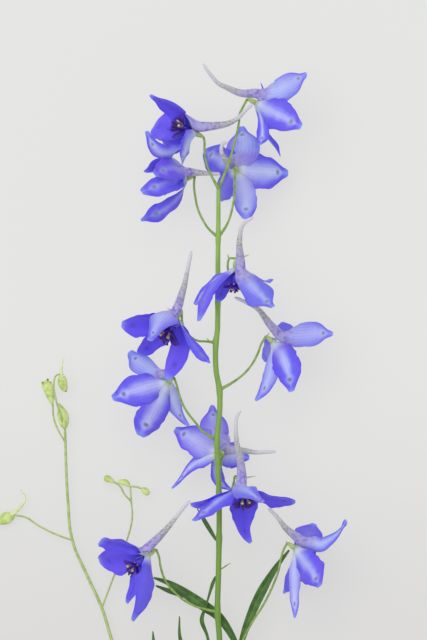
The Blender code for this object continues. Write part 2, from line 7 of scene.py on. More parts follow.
# %% Load the frame
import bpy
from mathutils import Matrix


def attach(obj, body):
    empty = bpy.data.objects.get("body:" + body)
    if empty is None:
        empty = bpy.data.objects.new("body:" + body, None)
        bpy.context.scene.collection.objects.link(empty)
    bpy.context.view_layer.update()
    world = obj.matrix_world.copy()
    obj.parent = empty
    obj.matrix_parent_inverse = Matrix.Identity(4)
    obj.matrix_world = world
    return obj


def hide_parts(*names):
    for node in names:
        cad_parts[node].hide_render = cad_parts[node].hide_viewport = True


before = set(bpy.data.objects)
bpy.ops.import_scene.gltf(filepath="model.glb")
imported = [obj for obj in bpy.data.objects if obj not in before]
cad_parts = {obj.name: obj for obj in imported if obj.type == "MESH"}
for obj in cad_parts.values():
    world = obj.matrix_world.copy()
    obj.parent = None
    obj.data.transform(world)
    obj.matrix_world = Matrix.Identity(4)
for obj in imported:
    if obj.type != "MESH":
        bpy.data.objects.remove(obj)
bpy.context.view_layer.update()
print("solids loaded:", len(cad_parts))

# %% What the later cells need
from bisect import bisect_right
from collections import namedtuple
from math import atan2, cos, pi, radians, sin
from types import SimpleNamespace

import bmesh
import bpy
from mathutils import Vector, noise

# %% [markdown]
# ## Millimetres on the surface
# All places below are millimetres on the surface that the spike lies on: X across the spike, Y from the
# cut butt to the youngest flower, Z above the surface. One function turns them into the scene's metres,
# so a number can be read against a ruler laid beside the flower.

# %% From millimetres to the scene
MM = 0.001
LAYOUT_CENTRE = Vector((-19.0, 53.0, 0.0))
SKY = Vector((0.0, 0.0, 1.0))


def place(point):
    """A place of the layout, in millimetres, as a place of the scene, in metres."""
    return (Vector(point) - LAYOUT_CENTRE) * MM


# %% [markdown]
# ## Camera
# The photograph is taken square on with almost no perspective, so the camera hangs six metres up with a
# very long lens. The picture is 640 rows high, and a row is 0.4 mm at the height of the middle flowers.

# %% Camera
PICTURE_MIDDLE = (-1.8, 128.0)
PICTURE_HEIGHT = 256.0
SHARP_HEIGHT = 24.0
CAMERA_DISTANCE = 6000.0
SENSOR = 36.0

bpy.ops.object.select_all(action="DESELECT")
bpy.ops.object.camera_add(location=place((*PICTURE_MIDDLE, SHARP_HEIGHT + CAMERA_DISTANCE)))
camera = bpy.context.object
camera.rotation_euler = (0.0, 0.0, 0.0)
camera.data.sensor_width = SENSOR
camera.data.lens = SENSOR * CAMERA_DISTANCE / PICTURE_HEIGHT
camera.data.clip_end = 20.0
bpy.context.scene.camera = camera
print("lens, mm:", round(camera.data.lens, 1))

# %% [markdown]
# ## Floor and light
# The flowers stand before a bright, even backdrop. A pale floor under an even white sky gives the same
# flat light, and one big soft panel from the upper left gives the petals their form.

# %% Floor and light
FLOOR_SIZE = 30.0
FLOOR_DROP = 0.0001
SKY_STRENGTH = 0.62
PANEL_SIZE = 3.0
PANEL_PLACE = (-0.9, 0.9, 3.0)
PANEL_TILT = (-0.29, -0.29, 0.0)
PANEL_POWER = 58.0

bpy.ops.mesh.primitive_plane_add(size=FLOOR_SIZE, location=(0.0, 0.0, -FLOOR_DROP))
floor = bpy.context.object
floor.name = "floor"

world = bpy.data.worlds.new("even sky")
world.use_nodes = True
world.node_tree.nodes["Background"].inputs["Color"].default_value = (1.0, 1.0, 1.0, 1.0)
world.node_tree.nodes["Background"].inputs["Strength"].default_value = SKY_STRENGTH
bpy.context.scene.world = world

bpy.ops.object.light_add(type="AREA", location=PANEL_PLACE, rotation=PANEL_TILT)
panel = bpy.context.object
panel.data.size = PANEL_SIZE
panel.data.energy = PANEL_POWER
panel.visible_camera = False
bpy.context.scene.view_settings.view_transform = "Standard"

# %% [markdown]
# ## Shader helpers
# A material is a small tree of nodes. These helpers add a node, feed a socket with a value or a wire,
# and name the steps that nearly every finish uses: a sum, a soft fade, a blend of two colours, a cloud
# of noise and a bump.

# %% Shader helpers
FULL_LIGHT = 255.0
# A mix node has sockets for numbers, vectors and colours, and these are the colour ones
MIX_SHARE = 0
MIX_FIRST = 6
MIX_SECOND = 7
MIX_COLOUR = 2


def colour(red, green, blue):
    """A screen colour, 0 to 255, as the linear colour that a shader reads."""
    linear = []
    for value in (red, green, blue):
        share = value / FULL_LIGHT
        linear.append(((share + 0.055) / 1.055) ** 2.4 if share > 0.04045 else share / 12.92)
    return (*linear, 1.0)


def add_node(tree, kind, **settings):
    made = tree.nodes.new(kind)
    for key, value in settings.items():
        setattr(made, key, value)
    return made


def feed(socket, value):
    if isinstance(value, bpy.types.NodeSocket):
        socket.id_data.links.new(value, socket)
    else:
        socket.default_value = value


def sums(operation, *values):
    """One step of arithmetic on values, at least one of which comes from another node."""
    tree = next(value.id_data for value in values if isinstance(value, bpy.types.NodeSocket))
    made = add_node(tree, "ShaderNodeMath", operation=operation)
    for socket, value in zip(made.inputs, values):
        feed(socket, value)
    return made.outputs[0]


def times(first, second):
    return sums("MULTIPLY", first, second)


def fade(value, low, high, start=0.0, end=1.0):
    """A soft step from start to end as the value goes from low to high."""
    made = add_node(value.id_data, "ShaderNodeMapRange", interpolation_type="SMOOTHSTEP")
    for name, number in (("Value", value), ("From Min", low), ("From Max", high),
                         ("To Min", start), ("To Max", end)):
        feed(made.inputs[name], number)
    return made.outputs["Result"]


def mixed(share, first, second):
    made = add_node(share.id_data, "ShaderNodeMix", data_type="RGBA")
    feed(made.inputs[MIX_SHARE], share)
    feed(made.inputs[MIX_FIRST], first)
    feed(made.inputs[MIX_SECOND], second)
    return made.outputs[MIX_COLOUR]


def cloud(tree, scale, detail=3.0, stretch=(1.0, 1.0, 1.0)):
    """Soft noise on the piece's own coordinates, from 0 to 1."""
    where = add_node(tree, "ShaderNodeTexCoord").outputs["Object"]
    mapping = add_node(tree, "ShaderNodeMapping")
    feed(mapping.inputs["Vector"], where)
    feed(mapping.inputs["Scale"], stretch)
    made = add_node(tree, "ShaderNodeTexNoise")
    feed(made.inputs["Vector"], mapping.outputs["Vector"])
    feed(made.inputs["Scale"], scale)
    feed(made.inputs["Detail"], detail)
    return made.outputs["Fac"]


def start_material(name):
    """A new material, with its tree and its Principled shader."""
    material = bpy.data.materials.new(name)
    material.use_nodes = True
    return material, material.node_tree, material.node_tree.nodes["Principled BSDF"]


def add_bump(shader, height, strength, depth):
    made = add_node(shader.id_data, "ShaderNodeBump")
    feed(made.inputs["Strength"], strength)
    feed(made.inputs["Distance"], depth)
    feed(made.inputs["Height"], height)
    feed(shader.inputs["Normal"], made.outputs["Normal"])


# %% [markdown]
# ## The floor's finish
# The backdrop is a pale warm grey, a little darker towards the butt. The photograph shows almost no
# shadow on it, as on a light table, so most of its brightness is its own glow and only the rest is light
# that falls on it. That keeps the shadows of the flowers soft and faint.

# %% Floor finish
FLOOR_FAR = colour(229, 229, 227)
# The near colour is painted shade: the floor darkens towards the butt as the light falls off there, not by a
# colour of its own
FLOOR_SHADED_NEAR = colour(220, 219, 218)
FLOOR_GLOW = 0.78
FLOOR_SHADE_FADE = 0.08


def floor_finish():
    material, tree, shader = start_material("pale backdrop")
    where = add_node(tree, "ShaderNodeTexCoord").outputs["Object"]
    along = add_node(tree, "ShaderNodeSeparateXYZ")
    feed(along.inputs[0], where)
    # Painted shade: the floor blends to the darker near colour towards the butt
    share = fade(along.outputs["Y"], -FLOOR_SHADE_FADE, FLOOR_SHADE_FADE)
    shade = mixed(share, FLOOR_SHADED_NEAR, FLOOR_FAR)
    lit = add_node(tree, "ShaderNodeMix", data_type="RGBA", blend_type="MULTIPLY")
    feed(lit.inputs[MIX_SHARE], 1.0)
    feed(lit.inputs[MIX_FIRST], shade)
    feed(lit.inputs[MIX_SECOND], (1.0 - FLOOR_GLOW,) * 3 + (1.0,))
    feed(shader.inputs["Base Color"], lit.outputs[MIX_COLOUR])
    feed(shader.inputs["Emission Color"], shade)
    feed(shader.inputs["Emission Strength"], FLOOR_GLOW)
    feed(shader.inputs["Roughness"], 0.9)
    feed(shader.inputs["Specular IOR Level"], 0.1)
    add_bump(shader, cloud(tree, scale=400.0), strength=0.05, depth=0.0002)
    return material


floor.data.materials.append(floor_finish())

# %% [markdown]
# ## The marks on a petal
# All the blue petals share one plan. A pale streak starts wide at the claw, where the petal grows from
# the flower, and narrows towards the tip. Fine veins fan out from the claw, a small greenish spot sits
# just below the tip, the tip itself is a pale nib, and violet clouds drift over some petals. A node
# group holds that plan once, and each finish gives it its own colours. It reads how far across and how
# far along a point lies, which every petal carries in its UV map.

# %% Petal marks, one group for every blue petal
SPOT_ALONG = 0.81
NEAR_TIP_WIDTH = 7.0
SEPAL_LENGTH = 24.0
VEIN_TURNS = 58.0
STREAK_AT_TIP = 0.32
STREAK_WIDENS = 0.66
STREAK_INNER_EDGE = -0.2
STREAK_OUTER_EDGE = 1.5
VEIN_WOBBLE = 5.0
VEIN_BUMP = -0.6
WOBBLE_TO_ROUGHNESS = (0.25, 0.38)
FAINTEST_PALE = 0.6
# Each fade: where it begins and ends, and its value there when that isn't 0 and 1
STREAK_NEAR_TIP = (0.72, 0.98, 1.0, 0.35)
STREAK_SEEN = (0.0, 0.8)
RIM_VEINED = (0.5, 1.1, 0.0, 0.5)
VEIN_LINES = (-0.2, 1.0)
VEIN_GAPS = (0.38, 0.62, 0.15, 1.0)
VIOLET_DRIFT = (0.42, 0.68)
CLAW_FADE = (0.03, 0.26, 1.0, 0.0)
ROOT_FADE = (0.0, 0.16, 1.0, 0.0)
ROOT_VEINED = (0.0, 1.0, 0.45, 1.0)
SPOT_HALO = (0.6, 2.6, 0.45, 0.0)
SPOT_FADE = (0.25, 1.2, 0.8, 0.0)
SPOT_SEEN = (0.0, 0.3, 0.25, 1.0)
SPOT_BROWNED = (0.42, 0.56)
NIB_FADE = (0.90, 1.0, 0.0, 0.7)
BLUSH = colour(138, 92, 222)
NIB = colour(140, 160, 243)
# A palette holds a petal's seven colours in this order
PALETTE = ("Rim", "Streak", "Claw", "Root", "Spot", "Old Spot", "Vein")


def group_sockets(tree, direction, names, kind):
    for name in names:
        tree.interface.new_socket(name=name, in_out=direction, socket_type="NodeSocket" + kind)


def petal_marks():
    tree = bpy.data.node_groups.new("petal marks", "ShaderNodeTree")
    group_sockets(tree, "INPUT", ("Across", "Along", "Pale", "Blush", "Veins"), "Float")
    group_sockets(tree, "INPUT", PALETTE, "Color")
    group_sockets(tree, "OUTPUT", ("Colour",), "Color")
    group_sockets(tree, "OUTPUT", ("Roughness", "Height"), "Float")
    take = tree.nodes.new("NodeGroupInput").outputs
    give = tree.nodes.new("NodeGroupOutput").inputs

    wobble = cloud(tree, scale=160.0)
    centred = sums("SUBTRACT", take["Across"], 0.5)
    side = times(sums("ABSOLUTE", centred), 2.0)
    ragged = sums("MULTIPLY_ADD", sums("SUBTRACT", wobble, 0.5), 0.5, side)
    left = sums("SUBTRACT", 1.0, take["Along"])
    reach = sums("MULTIPLY_ADD", left, STREAK_WIDENS, STREAK_AT_TIP)
    reach = times(reach, sums("MAXIMUM", take["Pale"], FAINTEST_PALE))
    inner_edge = times(reach, STREAK_INNER_EDGE)
    outer_edge = times(reach, STREAK_OUTER_EDGE)
    streak = fade(ragged, inner_edge, outer_edge, 1.0, 0.0)
    streak = times(streak, fade(take["Along"], *STREAK_NEAR_TIP))
    clear = fade(take["Pale"], *STREAK_SEEN)
    streak = times(streak, clear)
    painted = mixed(fade(ragged, *RIM_VEINED), take["Rim"], take["Vein"])
    painted = mixed(streak, painted, take["Streak"])

    ripples = sums("MULTIPLY_ADD", take["Across"], VEIN_TURNS, times(wobble, VEIN_WOBBLE))
    lines = fade(sums("SINE", ripples), *VEIN_LINES)
    lines = times(lines, fade(cloud(tree, scale=230.0, detail=2.0), *VEIN_GAPS))
    painted = mixed(times(lines, take["Veins"]), painted, take["Vein"])

    drift = fade(cloud(tree, scale=55.0, detail=2.0), *VIOLET_DRIFT)
    painted = mixed(times(drift, take["Blush"]), painted, BLUSH)
    painted = mixed(fade(take["Along"], *CLAW_FADE), painted, take["Claw"])
    greened = times(fade(take["Along"], *ROOT_FADE), fade(lines, *ROOT_VEINED))
    painted = mixed(greened, painted, take["Root"])

    to_side = times(centred, NEAR_TIP_WIDTH)
    to_tip = times(sums("SUBTRACT", take["Along"], SPOT_ALONG), SEPAL_LENGTH)
    squares = sums("MULTIPLY_ADD", to_side, to_side, times(to_tip, to_tip))
    away = sums("SQRT", squares)
    halo = times(fade(away, *SPOT_HALO), clear)
    painted = mixed(halo, painted, take["Streak"])
    browned = mixed(fade(cloud(tree, scale=45.0, detail=1.0), *SPOT_BROWNED), take["Spot"], take["Old Spot"])
    shown = fade(take["Pale"], *SPOT_SEEN)
    spot = times(fade(away, *SPOT_FADE), shown)
    painted = mixed(spot, painted, browned)
    painted = mixed(fade(take["Along"], *NIB_FADE), painted, NIB)
    feed(give["Colour"], painted)
    feed(give["Roughness"], sums("MULTIPLY_ADD", wobble, *WOBBLE_TO_ROUGHNESS))
    cells = cloud(tree, scale=1400.0, detail=2.0)
    feed(give["Height"], sums("MULTIPLY_ADD", lines, VEIN_BUMP, cells))
    return tree


MARKS = petal_marks()
print("petal marks:", len(MARKS.nodes), "nodes")

# %% [markdown]
# ## Blue petals, inside and outside
# The inner face is a deep, even blue-violet. The outer face is paler, with the light streak down its
# middle. Each petal is a thin shell with both faces, so each gets two finishes, and two numbers that the
# petal carries, pale and blush, move it between the flowers' lighter and more violet petals.

# %% Sepal finishes
PETAL_GLOW = 0.35
INNER = ((109, 93, 246), (98, 80, 236), (78, 60, 200), (62, 46, 156), (86, 74, 204), (86, 72, 192),
         (90, 68, 228))
OUTER = ((108, 99, 237), (198, 207, 250), (214, 222, 240), (160, 184, 130), (108, 142, 130), (104, 102, 108),
         (86, 68, 228))
UPPER_OUTER = ((118, 119, 232), (184, 194, 243), (176, 172, 220), (176, 168, 212), (104, 146, 128),
               (98, 112, 114), (100, 94, 220))


def carried_number(tree, name):
    return add_node(tree, "ShaderNodeAttribute", attribute_name=name).outputs["Fac"]


def petal_coordinates(tree):
    where = add_node(tree, "ShaderNodeUVMap", uv_map="UVMap")
    split = add_node(tree, "ShaderNodeSeparateXYZ")
    feed(split.inputs[0], where.outputs["UV"])
    return split.outputs["X"], split.outputs["Y"]


def marked(tree, across, along, palette, veins, even_pale=None):
    """The petal marks in one material, with its own colours."""
    made = add_node(tree, "ShaderNodeGroup", node_tree=MARKS)
    feed(made.inputs["Across"], across)
    feed(made.inputs["Along"], along)
    feed(made.inputs["Pale"], even_pale or carried_number(tree, "pale"))
    feed(made.inputs["Blush"], carried_number(tree, "blush"))
    feed(made.inputs["Veins"], veins)
    for name, shade in zip(PALETTE, palette):
        feed(made.inputs[name], colour(*shade))
    return made.outputs


def petal_surface(shader, painted, roughness, height):
    feed(shader.inputs["Base Color"], painted)
    feed(shader.inputs["Roughness"], roughness)
    feed(shader.inputs["Specular IOR Level"], 0.25)
    feed(shader.inputs["Sheen Weight"], 0.1)
    feed(shader.inputs["Sheen Roughness"], 0.4)
    feed(shader.inputs["Subsurface Weight"], PETAL_GLOW)
    feed(shader.inputs["Subsurface Radius"], (0.7, 0.7, 1.0))
    feed(shader.inputs["Subsurface Scale"], 0.001)
    add_bump(shader, height, strength=0.35, depth=0.0001)


def sepal_finish(name, palette, veins, even_pale=None):
    material, tree, shader = start_material(name)
    across, along = petal_coordinates(tree)
    marks = marked(tree, across, along, palette, veins, even_pale)
    petal_surface(shader, marks["Colour"], marks["Roughness"], marks["Height"])
    return material


SEPAL_INNER = sepal_finish("sepal inner face", INNER, 0.35, 1.0)
SEPAL_OUTER = sepal_finish("sepal outer face", OUTER, 0.17)

# %% [markdown]
# ## The spurred petal's outside
# The uppermost petal runs back into the long spur. Its UV map runs from the spur's tip at 0, over the
# mouth at one half, to the petal's tip at 1. The spur is violet at its mouth, fades through a downy
# grey-violet to a nearly white tip, and is speckled and wrinkled on the way.

# %% Spurred sepal finishes
MOUTH = 0.5
SPUR_COLOURS = ((0.0, (172, 168, 222)), (0.22, (178, 173, 208)), (0.45, (184, 184, 186)),
                (0.70, (206, 204, 211)), (1.0, (212, 208, 218)))
MOTTLE_PATCHES = (0.46, 0.6)
SPECKLE_PATCHES = (0.47, 0.6)
SPUR_WRINKLES = 3.0
BLADE_WRINKLES = 0.6
SPUR_MOTTLED = (0.02, 0.38, 0.75, 0.0)
SPECKLES_FROM = (0.0, 0.3, 0.15, 1.0)
SPECKLES_TO = (0.5, 0.8, 1.0, 0.12)
BLADE_STARTS = (MOUTH - 0.02, MOUTH + 0.17)
SPECKLE = colour(112, 108, 112)
MOTTLE = colour(134, 98, 204)


def spurred_finish(name, palette, veins, with_spur):
    material, tree, shader = start_material(name)
    across, along = petal_coordinates(tree)
    blade = times(sums("SUBTRACT", along, MOUTH), 1.0 / (1.0 - MOUTH))
    blade = sums("MAXIMUM", blade, 0.0)
    marks = marked(tree, across, blade, palette, veins)
    if not with_spur:
        petal_surface(shader, marks["Colour"], marks["Roughness"], marks["Height"])
        return material
    back = times(sums("SUBTRACT", MOUTH, along), 1.0 / MOUTH)
    ramp = add_node(tree, "ShaderNodeValToRGB")
    while len(ramp.color_ramp.elements) < len(SPUR_COLOURS):
        ramp.color_ramp.elements.new(0.5)
    for element, (position, shade) in zip(ramp.color_ramp.elements, SPUR_COLOURS):
        element.position = position
        element.color = colour(*shade)
    feed(ramp.inputs["Fac"], back)
    patches = fade(cloud(tree, scale=620.0, detail=3.0), *MOTTLE_PATCHES)
    mottled = times(patches, fade(back, *SPUR_MOTTLED))
    spur = mixed(mottled, ramp.outputs["Color"], MOTTLE)
    speckles = fade(cloud(tree, scale=1150.0, detail=4.0), *SPECKLE_PATCHES)
    middle = times(fade(back, *SPECKLES_FROM), fade(back, *SPECKLES_TO))
    speckled = times(times(speckles, middle), carried_number(tree, "speckles"))
    spur = mixed(speckled, spur, SPECKLE)
    onto_blade = fade(along, *BLADE_STARTS)
    wrinkles = cloud(tree, scale=500.0, detail=4.0)
    roughened = sums("MULTIPLY_ADD", onto_blade, BLADE_WRINKLES - SPUR_WRINKLES, SPUR_WRINKLES)
    height = sums("MULTIPLY_ADD", wrinkles, roughened, marks["Height"])
    petal_surface(shader, mixed(onto_blade, spur, marks["Colour"]), marks["Roughness"], height)
    return material


UPPER_INNER = spurred_finish("spurred sepal inner face", INNER, 0.35, False)
UPPER_FACE = spurred_finish("spurred sepal outer face", UPPER_OUTER, 0.26, True)

# %% [markdown]
# ## The eye
# In the middle of each flower four small, almost black petals stand round the stamens. They are a dark
# velvety indigo with a hint of magenta, with painted shade at their roots and painted light towards their
# tips. The anthers are dark too, and the two lips are a dull cream.

# %% Eye finishes
# The dark colour is painted shade at an eye petal's root, and the lit colour is painted light towards its
# tip
EYE_PAINTED_SHADE = colour(50, 24, 122)
EYE_PAINTED_LIGHT = colour(84, 42, 180)
EYE_MAGENTA = colour(100, 42, 172)
EYE_PAINTED_LIGHT_FROM = (0.45, 1.0)
MAGENTA_PATCHES = (0.48, 0.68, 0.0, 0.5)
EYE_ROUGHNESS = (0.45, 0.75)
# A cloud of noise, from its darkest places to its brightest
CLOUD_SPAN = (0.2, 0.8)
SPECKLED_PATCHES = (0.4, 0.65)
ROUGHNESS_SWING = 0.1
BUMP_FINER = 3.0


def eye_finish():
    material, tree, shader = start_material("dark eye petal")
    across, along = petal_coordinates(tree)
    # Painted shade at the root blends to painted light towards the tip
    lit = mixed(fade(along, *EYE_PAINTED_LIGHT_FROM), EYE_PAINTED_SHADE, EYE_PAINTED_LIGHT)
    magenta = fade(cloud(tree, scale=420.0), *MAGENTA_PATCHES)
    feed(shader.inputs["Base Color"], mixed(magenta, lit, EYE_MAGENTA))
    feed(shader.inputs["Roughness"], fade(cloud(tree, scale=700.0), *CLOUD_SPAN, *EYE_ROUGHNESS))
    feed(shader.inputs["Specular IOR Level"], 0.2)
    add_bump(shader, cloud(tree, scale=1500.0), strength=0.4, depth=0.0001)
    return material


def speckled_finish(name, main, other, scale, roughness=0.55, depth=0.0001):
    material, tree, shader = start_material(name)
    patches = cloud(tree, scale)
    share = fade(patches, *SPECKLED_PATCHES)
    feed(shader.inputs["Base Color"], mixed(share, colour(*main), colour(*other)))
    smoothest, roughest = roughness - ROUGHNESS_SWING, roughness + ROUGHNESS_SWING
    feed(shader.inputs["Roughness"], fade(patches, *CLOUD_SPAN, smoothest, roughest))
    feed(shader.inputs["Specular IOR Level"], 0.3)
    add_bump(shader, cloud(tree, scale * BUMP_FINER), strength=0.4, depth=depth)
    return material


EYE = eye_finish()
THROAT = speckled_finish("flower throat", (84, 66, 214), (70, 48, 184), 420.0)
LIP = speckled_finish("pale lip", (206, 194, 162), (152, 128, 142), 1300.0)
ANTHER = speckled_finish("dark anther", (58, 36, 108), (92, 58, 104), 1500.0)
FILAMENT = speckled_finish("filament", (72, 48, 150), (104, 56, 150), 900.0)

# %% [markdown]
# ## Greens
# The stem is a fresh yellow green above and a darker green towards the butt, and the flowers' stalks are a
# greyer green. The buds and their shoot are younger and paler, and the leaves are a deep green with a
# lighter midrib.

# %% Green finishes
STEM_LOW = colour(102, 142, 48)
STEM_HIGH = colour(152, 187, 88)
STEM_GRAIN = colour(110, 152, 68)
STEM_FRESH_FROM = (-0.10, 0.13)
STEM_GRAIN_PATCHES = (0.35, 0.7, 0.0, 0.5)
STEM_ROUGHNESS = (0.38, 0.58)
LEAF_DARK = colour(60, 98, 40)
LEAF_LIGHT = colour(88, 126, 58)
LEAF_MIDRIB = colour(112, 148, 72)
LEAF_PATCHES = (0.35, 0.7)
MIDRIB_FADE = (0.0, 0.08, 0.4, 0.0)
LEAF_ROUGHNESS = (0.4, 0.6)
RIBS_ACROSS = 60.0
RIBS_ALONG = 40.0
RIB_BUMP = 0.2


def stem_finish():
    material, tree, shader = start_material("green stem")
    where = add_node(tree, "ShaderNodeSeparateXYZ")
    feed(where.inputs[0], add_node(tree, "ShaderNodeTexCoord").outputs["Object"])
    fresh = mixed(fade(where.outputs["Y"], *STEM_FRESH_FROM), STEM_LOW, STEM_HIGH)
    grain = cloud(tree, scale=260.0, detail=3.0, stretch=(3.0, 0.35, 3.0))
    painted = mixed(fade(grain, *STEM_GRAIN_PATCHES), fresh, STEM_GRAIN)
    feed(shader.inputs["Base Color"], painted)
    feed(shader.inputs["Roughness"], fade(grain, *CLOUD_SPAN, *STEM_ROUGHNESS))
    feed(shader.inputs["Specular IOR Level"], 0.4)
    add_bump(shader, grain, strength=0.4, depth=0.00015)
    return material


def leaf_finish():
    material, tree, shader = start_material("deep green leaf")
    across, along = petal_coordinates(tree)
    side = sums("ABSOLUTE", sums("SUBTRACT", across, 0.5))
    mottle = cloud(tree, scale=300.0)
    blade = mixed(fade(mottle, *LEAF_PATCHES), LEAF_DARK, LEAF_LIGHT)
    painted = mixed(fade(side, *MIDRIB_FADE), blade, LEAF_MIDRIB)
    feed(shader.inputs["Base Color"], painted)
    feed(shader.inputs["Roughness"], fade(mottle, *CLOUD_SPAN, *LEAF_ROUGHNESS))
    feed(shader.inputs["Specular IOR Level"], 0.35)
    ribs = sums("SINE", sums("MULTIPLY_ADD", side, RIBS_ACROSS, times(along, RIBS_ALONG)))
    add_bump(shader, sums("MULTIPLY_ADD", ribs, RIB_BUMP, mottle), strength=0.4, depth=0.00015)
    return material


STEM = stem_finish()
LEAF = leaf_finish()
YOUNG_STEM = speckled_finish("young stem", (182, 200, 128), (160, 182, 108), 500.0, 0.5)
BUD = speckled_finish("pale bud", (212, 228, 150), (178, 202, 112), 420.0, 0.55)
BUD_HORN = speckled_finish("pale bud spur", (226, 234, 188), (204, 216, 154), 500.0, 0.55)
STALK = speckled_finish("pale stalk", (146, 174, 96), (118, 152, 70), 500.0, 0.5)
BUD_KNOB = speckled_finish("bud tip", (146, 166, 100), (112, 134, 82), 700.0, 0.55)
print("finishes:", len(bpy.data.materials))

# %% [markdown]
# ## From a flat strip to a bent sheet
# Every petal and leaf starts as the same thing: a flat grid, narrowed row by row to its outline in edit
# mode. A copy is then laid along its own path. Each row of the strip has a place on the path, a way
# across, a way up, a width and a curl, so one helper bends a flat strip into a petal, a folded leaf or
# the closed tube of a spur.

# %% Bending a strip
BROAD_WAVES = 4.0
SMALL_WAVES = 9.0
RUFFLES = 10.0
BROAD_WAVE_WIDTH = 0.16
SMALL_WAVE_WIDTH = 0.18
MOST_RAGGED = 1.8
RUFFLE_HEIGHT = 0.45
WAVE_SEED = 7.0
RUFFLE_SEED = 3.0
WAVE_ACROSS = 0.9
RUFFLE_ACROSS = 0.7
STRAIGHT = 0.001
SAME_ROW = 0.001

Row = namedtuple("Row", "point across lift half curl")


def pick(*pieces):
    """Selects these pieces and no others, and makes the first one active."""
    bpy.ops.object.select_all(action="DESELECT")
    for piece in pieces:
        piece.select_set(True)
    bpy.context.view_layer.objects.active = pieces[0] if pieces else None


def primitive(name, add, **settings):
    """A new primitive, selected alone and named."""
    pick()
    add(**settings)
    bpy.context.object.name = name
    return bpy.context.object


def paint(piece, *materials):
    for material in materials:
        piece.data.materials.append(material)
    return piece


def strip(name, across, along):
    return primitive(name, bpy.ops.mesh.primitive_grid_add, x_subdivisions=across, y_subdivisions=along,
                     size=2.0)


def narrow(piece, outline):
    """Narrows each row of a flat strip to its share of the full width, in edit mode."""
    levels = sorted({round(vertex.co.y, 4) for vertex in piece.data.vertices})
    bpy.ops.object.mode_set(mode="EDIT")
    for level in levels:
        mesh = bmesh.from_edit_mesh(piece.data)
        for vertex in mesh.verts:
            vertex.select = abs(vertex.co.y - level) < SAME_ROW
        mesh.select_flush_mode()
        bmesh.update_edit_mesh(piece.data)
        share = read_off(outline, (level + 1.0) / 2.0)[0]
        bpy.ops.transform.resize(value=(share, 1.0, 1.0), center_override=(0.0, level, 0.0))
    bpy.ops.object.mode_set(mode="OBJECT")
    return piece


def read_off(table, mark):
    """The values at a mark, on a smooth curve through a table of (mark, value, value, ...)."""
    marks = [row[0] for row in table]
    knots = [Vector(row[1:]) if len(row) > 2 else Vector((row[1], 0.0)) for row in table]
    last = len(table) - 1
    low = min(max(bisect_right(marks, mark) - 1, 0), last - 1)
    span = marks[low + 1] - marks[low]
    share = min(max((mark - marks[low]) / span, 0.0), 1.0)
    slopes = []
    for index in (low, low + 1):
        before = max(index - 1, 0)
        after = min(index + 1, last)
        slopes.append((knots[after] - knots[before]) * (span / (marks[after] - marks[before])))
    square = share * share
    cube = square * share
    return (knots[low] * (2 * cube - 3 * square + 1) + slopes[0] * (cube - 2 * square + share)
            + knots[low + 1] * (3 * square - 2 * cube) + slopes[1] * (cube - square))


def shares(count):
    """Even steps from 0 to 1."""
    return [step / count for step in range(count + 1)]


def ways(points):
    """The way ahead at each point of a path."""
    last = len(points) - 1
    return [(points[min(i + 1, last)] - points[max(i - 1, 0)]).normalized() for i in range(last + 1)]


def carried(points, lift, lean=0.0):
    """The way across and the way up at each point, carried along the path and leant to the sky."""
    sides = []
    for along in ways(points):
        lift = (lift - along * lift.dot(along)).normalized()
        sides.append((along.cross(lift).normalized(), lift))
        lift = lift + SKY * (lean / len(points))
    return sides


def copied(master, name):
    piece = master.copy()
    piece.data = master.data.copy()
    piece.name = name
    piece.data.name = name
    bpy.context.scene.collection.objects.link(piece)
    return piece


def lay(piece, rows, ripple=0.0, fold=0.0, seed=0.0):
    """Lays a flat strip along its rows, with a ripple at its edges and a fold down its middle."""
    last = len(rows) - 1
    for vertex in piece.data.vertices:
        x, y, z = vertex.co
        along = (y + 1.0) / 2.0
        row = rows[round(along * last)]
        open_share = max(0.0, 1.0 - abs(row.half * row.curl) / pi)
        edge = abs(x) ** 3 * open_share
        ragged = BROAD_WAVE_WIDTH * noise.noise(Vector((along * BROAD_WAVES, x, seed)))
        ragged += SMALL_WAVE_WIDTH * noise.noise(Vector((along * SMALL_WAVES, x, seed)))
        arc = x * row.half * (1.0 + ragged * edge * min(ripple, MOST_RAGGED))
        bend = arc * row.curl
        if abs(bend) > STRAIGHT:
            side, up = sin(bend) / row.curl, (1.0 - cos(bend)) / row.curl
        else:
            side, up = arc, arc * bend * 0.5
        wave = noise.noise(Vector((along * BROAD_WAVES, x * WAVE_ACROSS, seed + WAVE_SEED)))
        ruffle = noise.noise(Vector((along * RUFFLES, x * RUFFLE_ACROSS, seed + RUFFLE_SEED)))
        up += ripple * (x * x * open_share * wave + RUFFLE_HEIGHT * edge * ruffle) * min(along * 3.0, 1.0)
        turn = fold if side > 0.0 else -fold
        side, up = side * cos(fold) - up * sin(turn), side * sin(turn) + up * cos(fold)
        vertex.co = place(row.point + row.across * side + row.lift * up)
    return piece


def carry(piece, **numbers):
    """Writes a number on every point of a piece, for its finish to read."""
    for name, value in numbers.items():
        written = piece.data.attributes.new(name, "FLOAT", "POINT")
        written.data.foreach_set("value", [value] * len(piece.data.vertices))


def merge_doubles(piece, distance):
    """Closes a piece's seams and poles, where points lie within a distance of each other."""
    pick(piece)
    bpy.ops.object.mode_set(mode="EDIT")
    bpy.ops.mesh.select_all(action="SELECT")
    bpy.ops.mesh.remove_doubles(threshold=distance * MM)
    bpy.ops.object.mode_set(mode="OBJECT")


def thicken(piece, thickness, offset=0.0):
    """Turns a sheet into a thin closed shell with two faces and rounds it off."""
    pick(piece)
    wall = piece.modifiers.new("wall", "SOLIDIFY")
    wall.thickness = thickness * MM
    wall.offset = offset
    wall.material_offset = 1
    wall.material_offset_rim = 1
    rounding = piece.modifiers.new("rounding", "SUBSURF")
    rounding.levels = 1
    rounding.render_levels = 1
    for name in ("wall", "rounding"):
        bpy.ops.object.modifier_apply(modifier=name)
    bpy.ops.object.shade_smooth()
    return piece


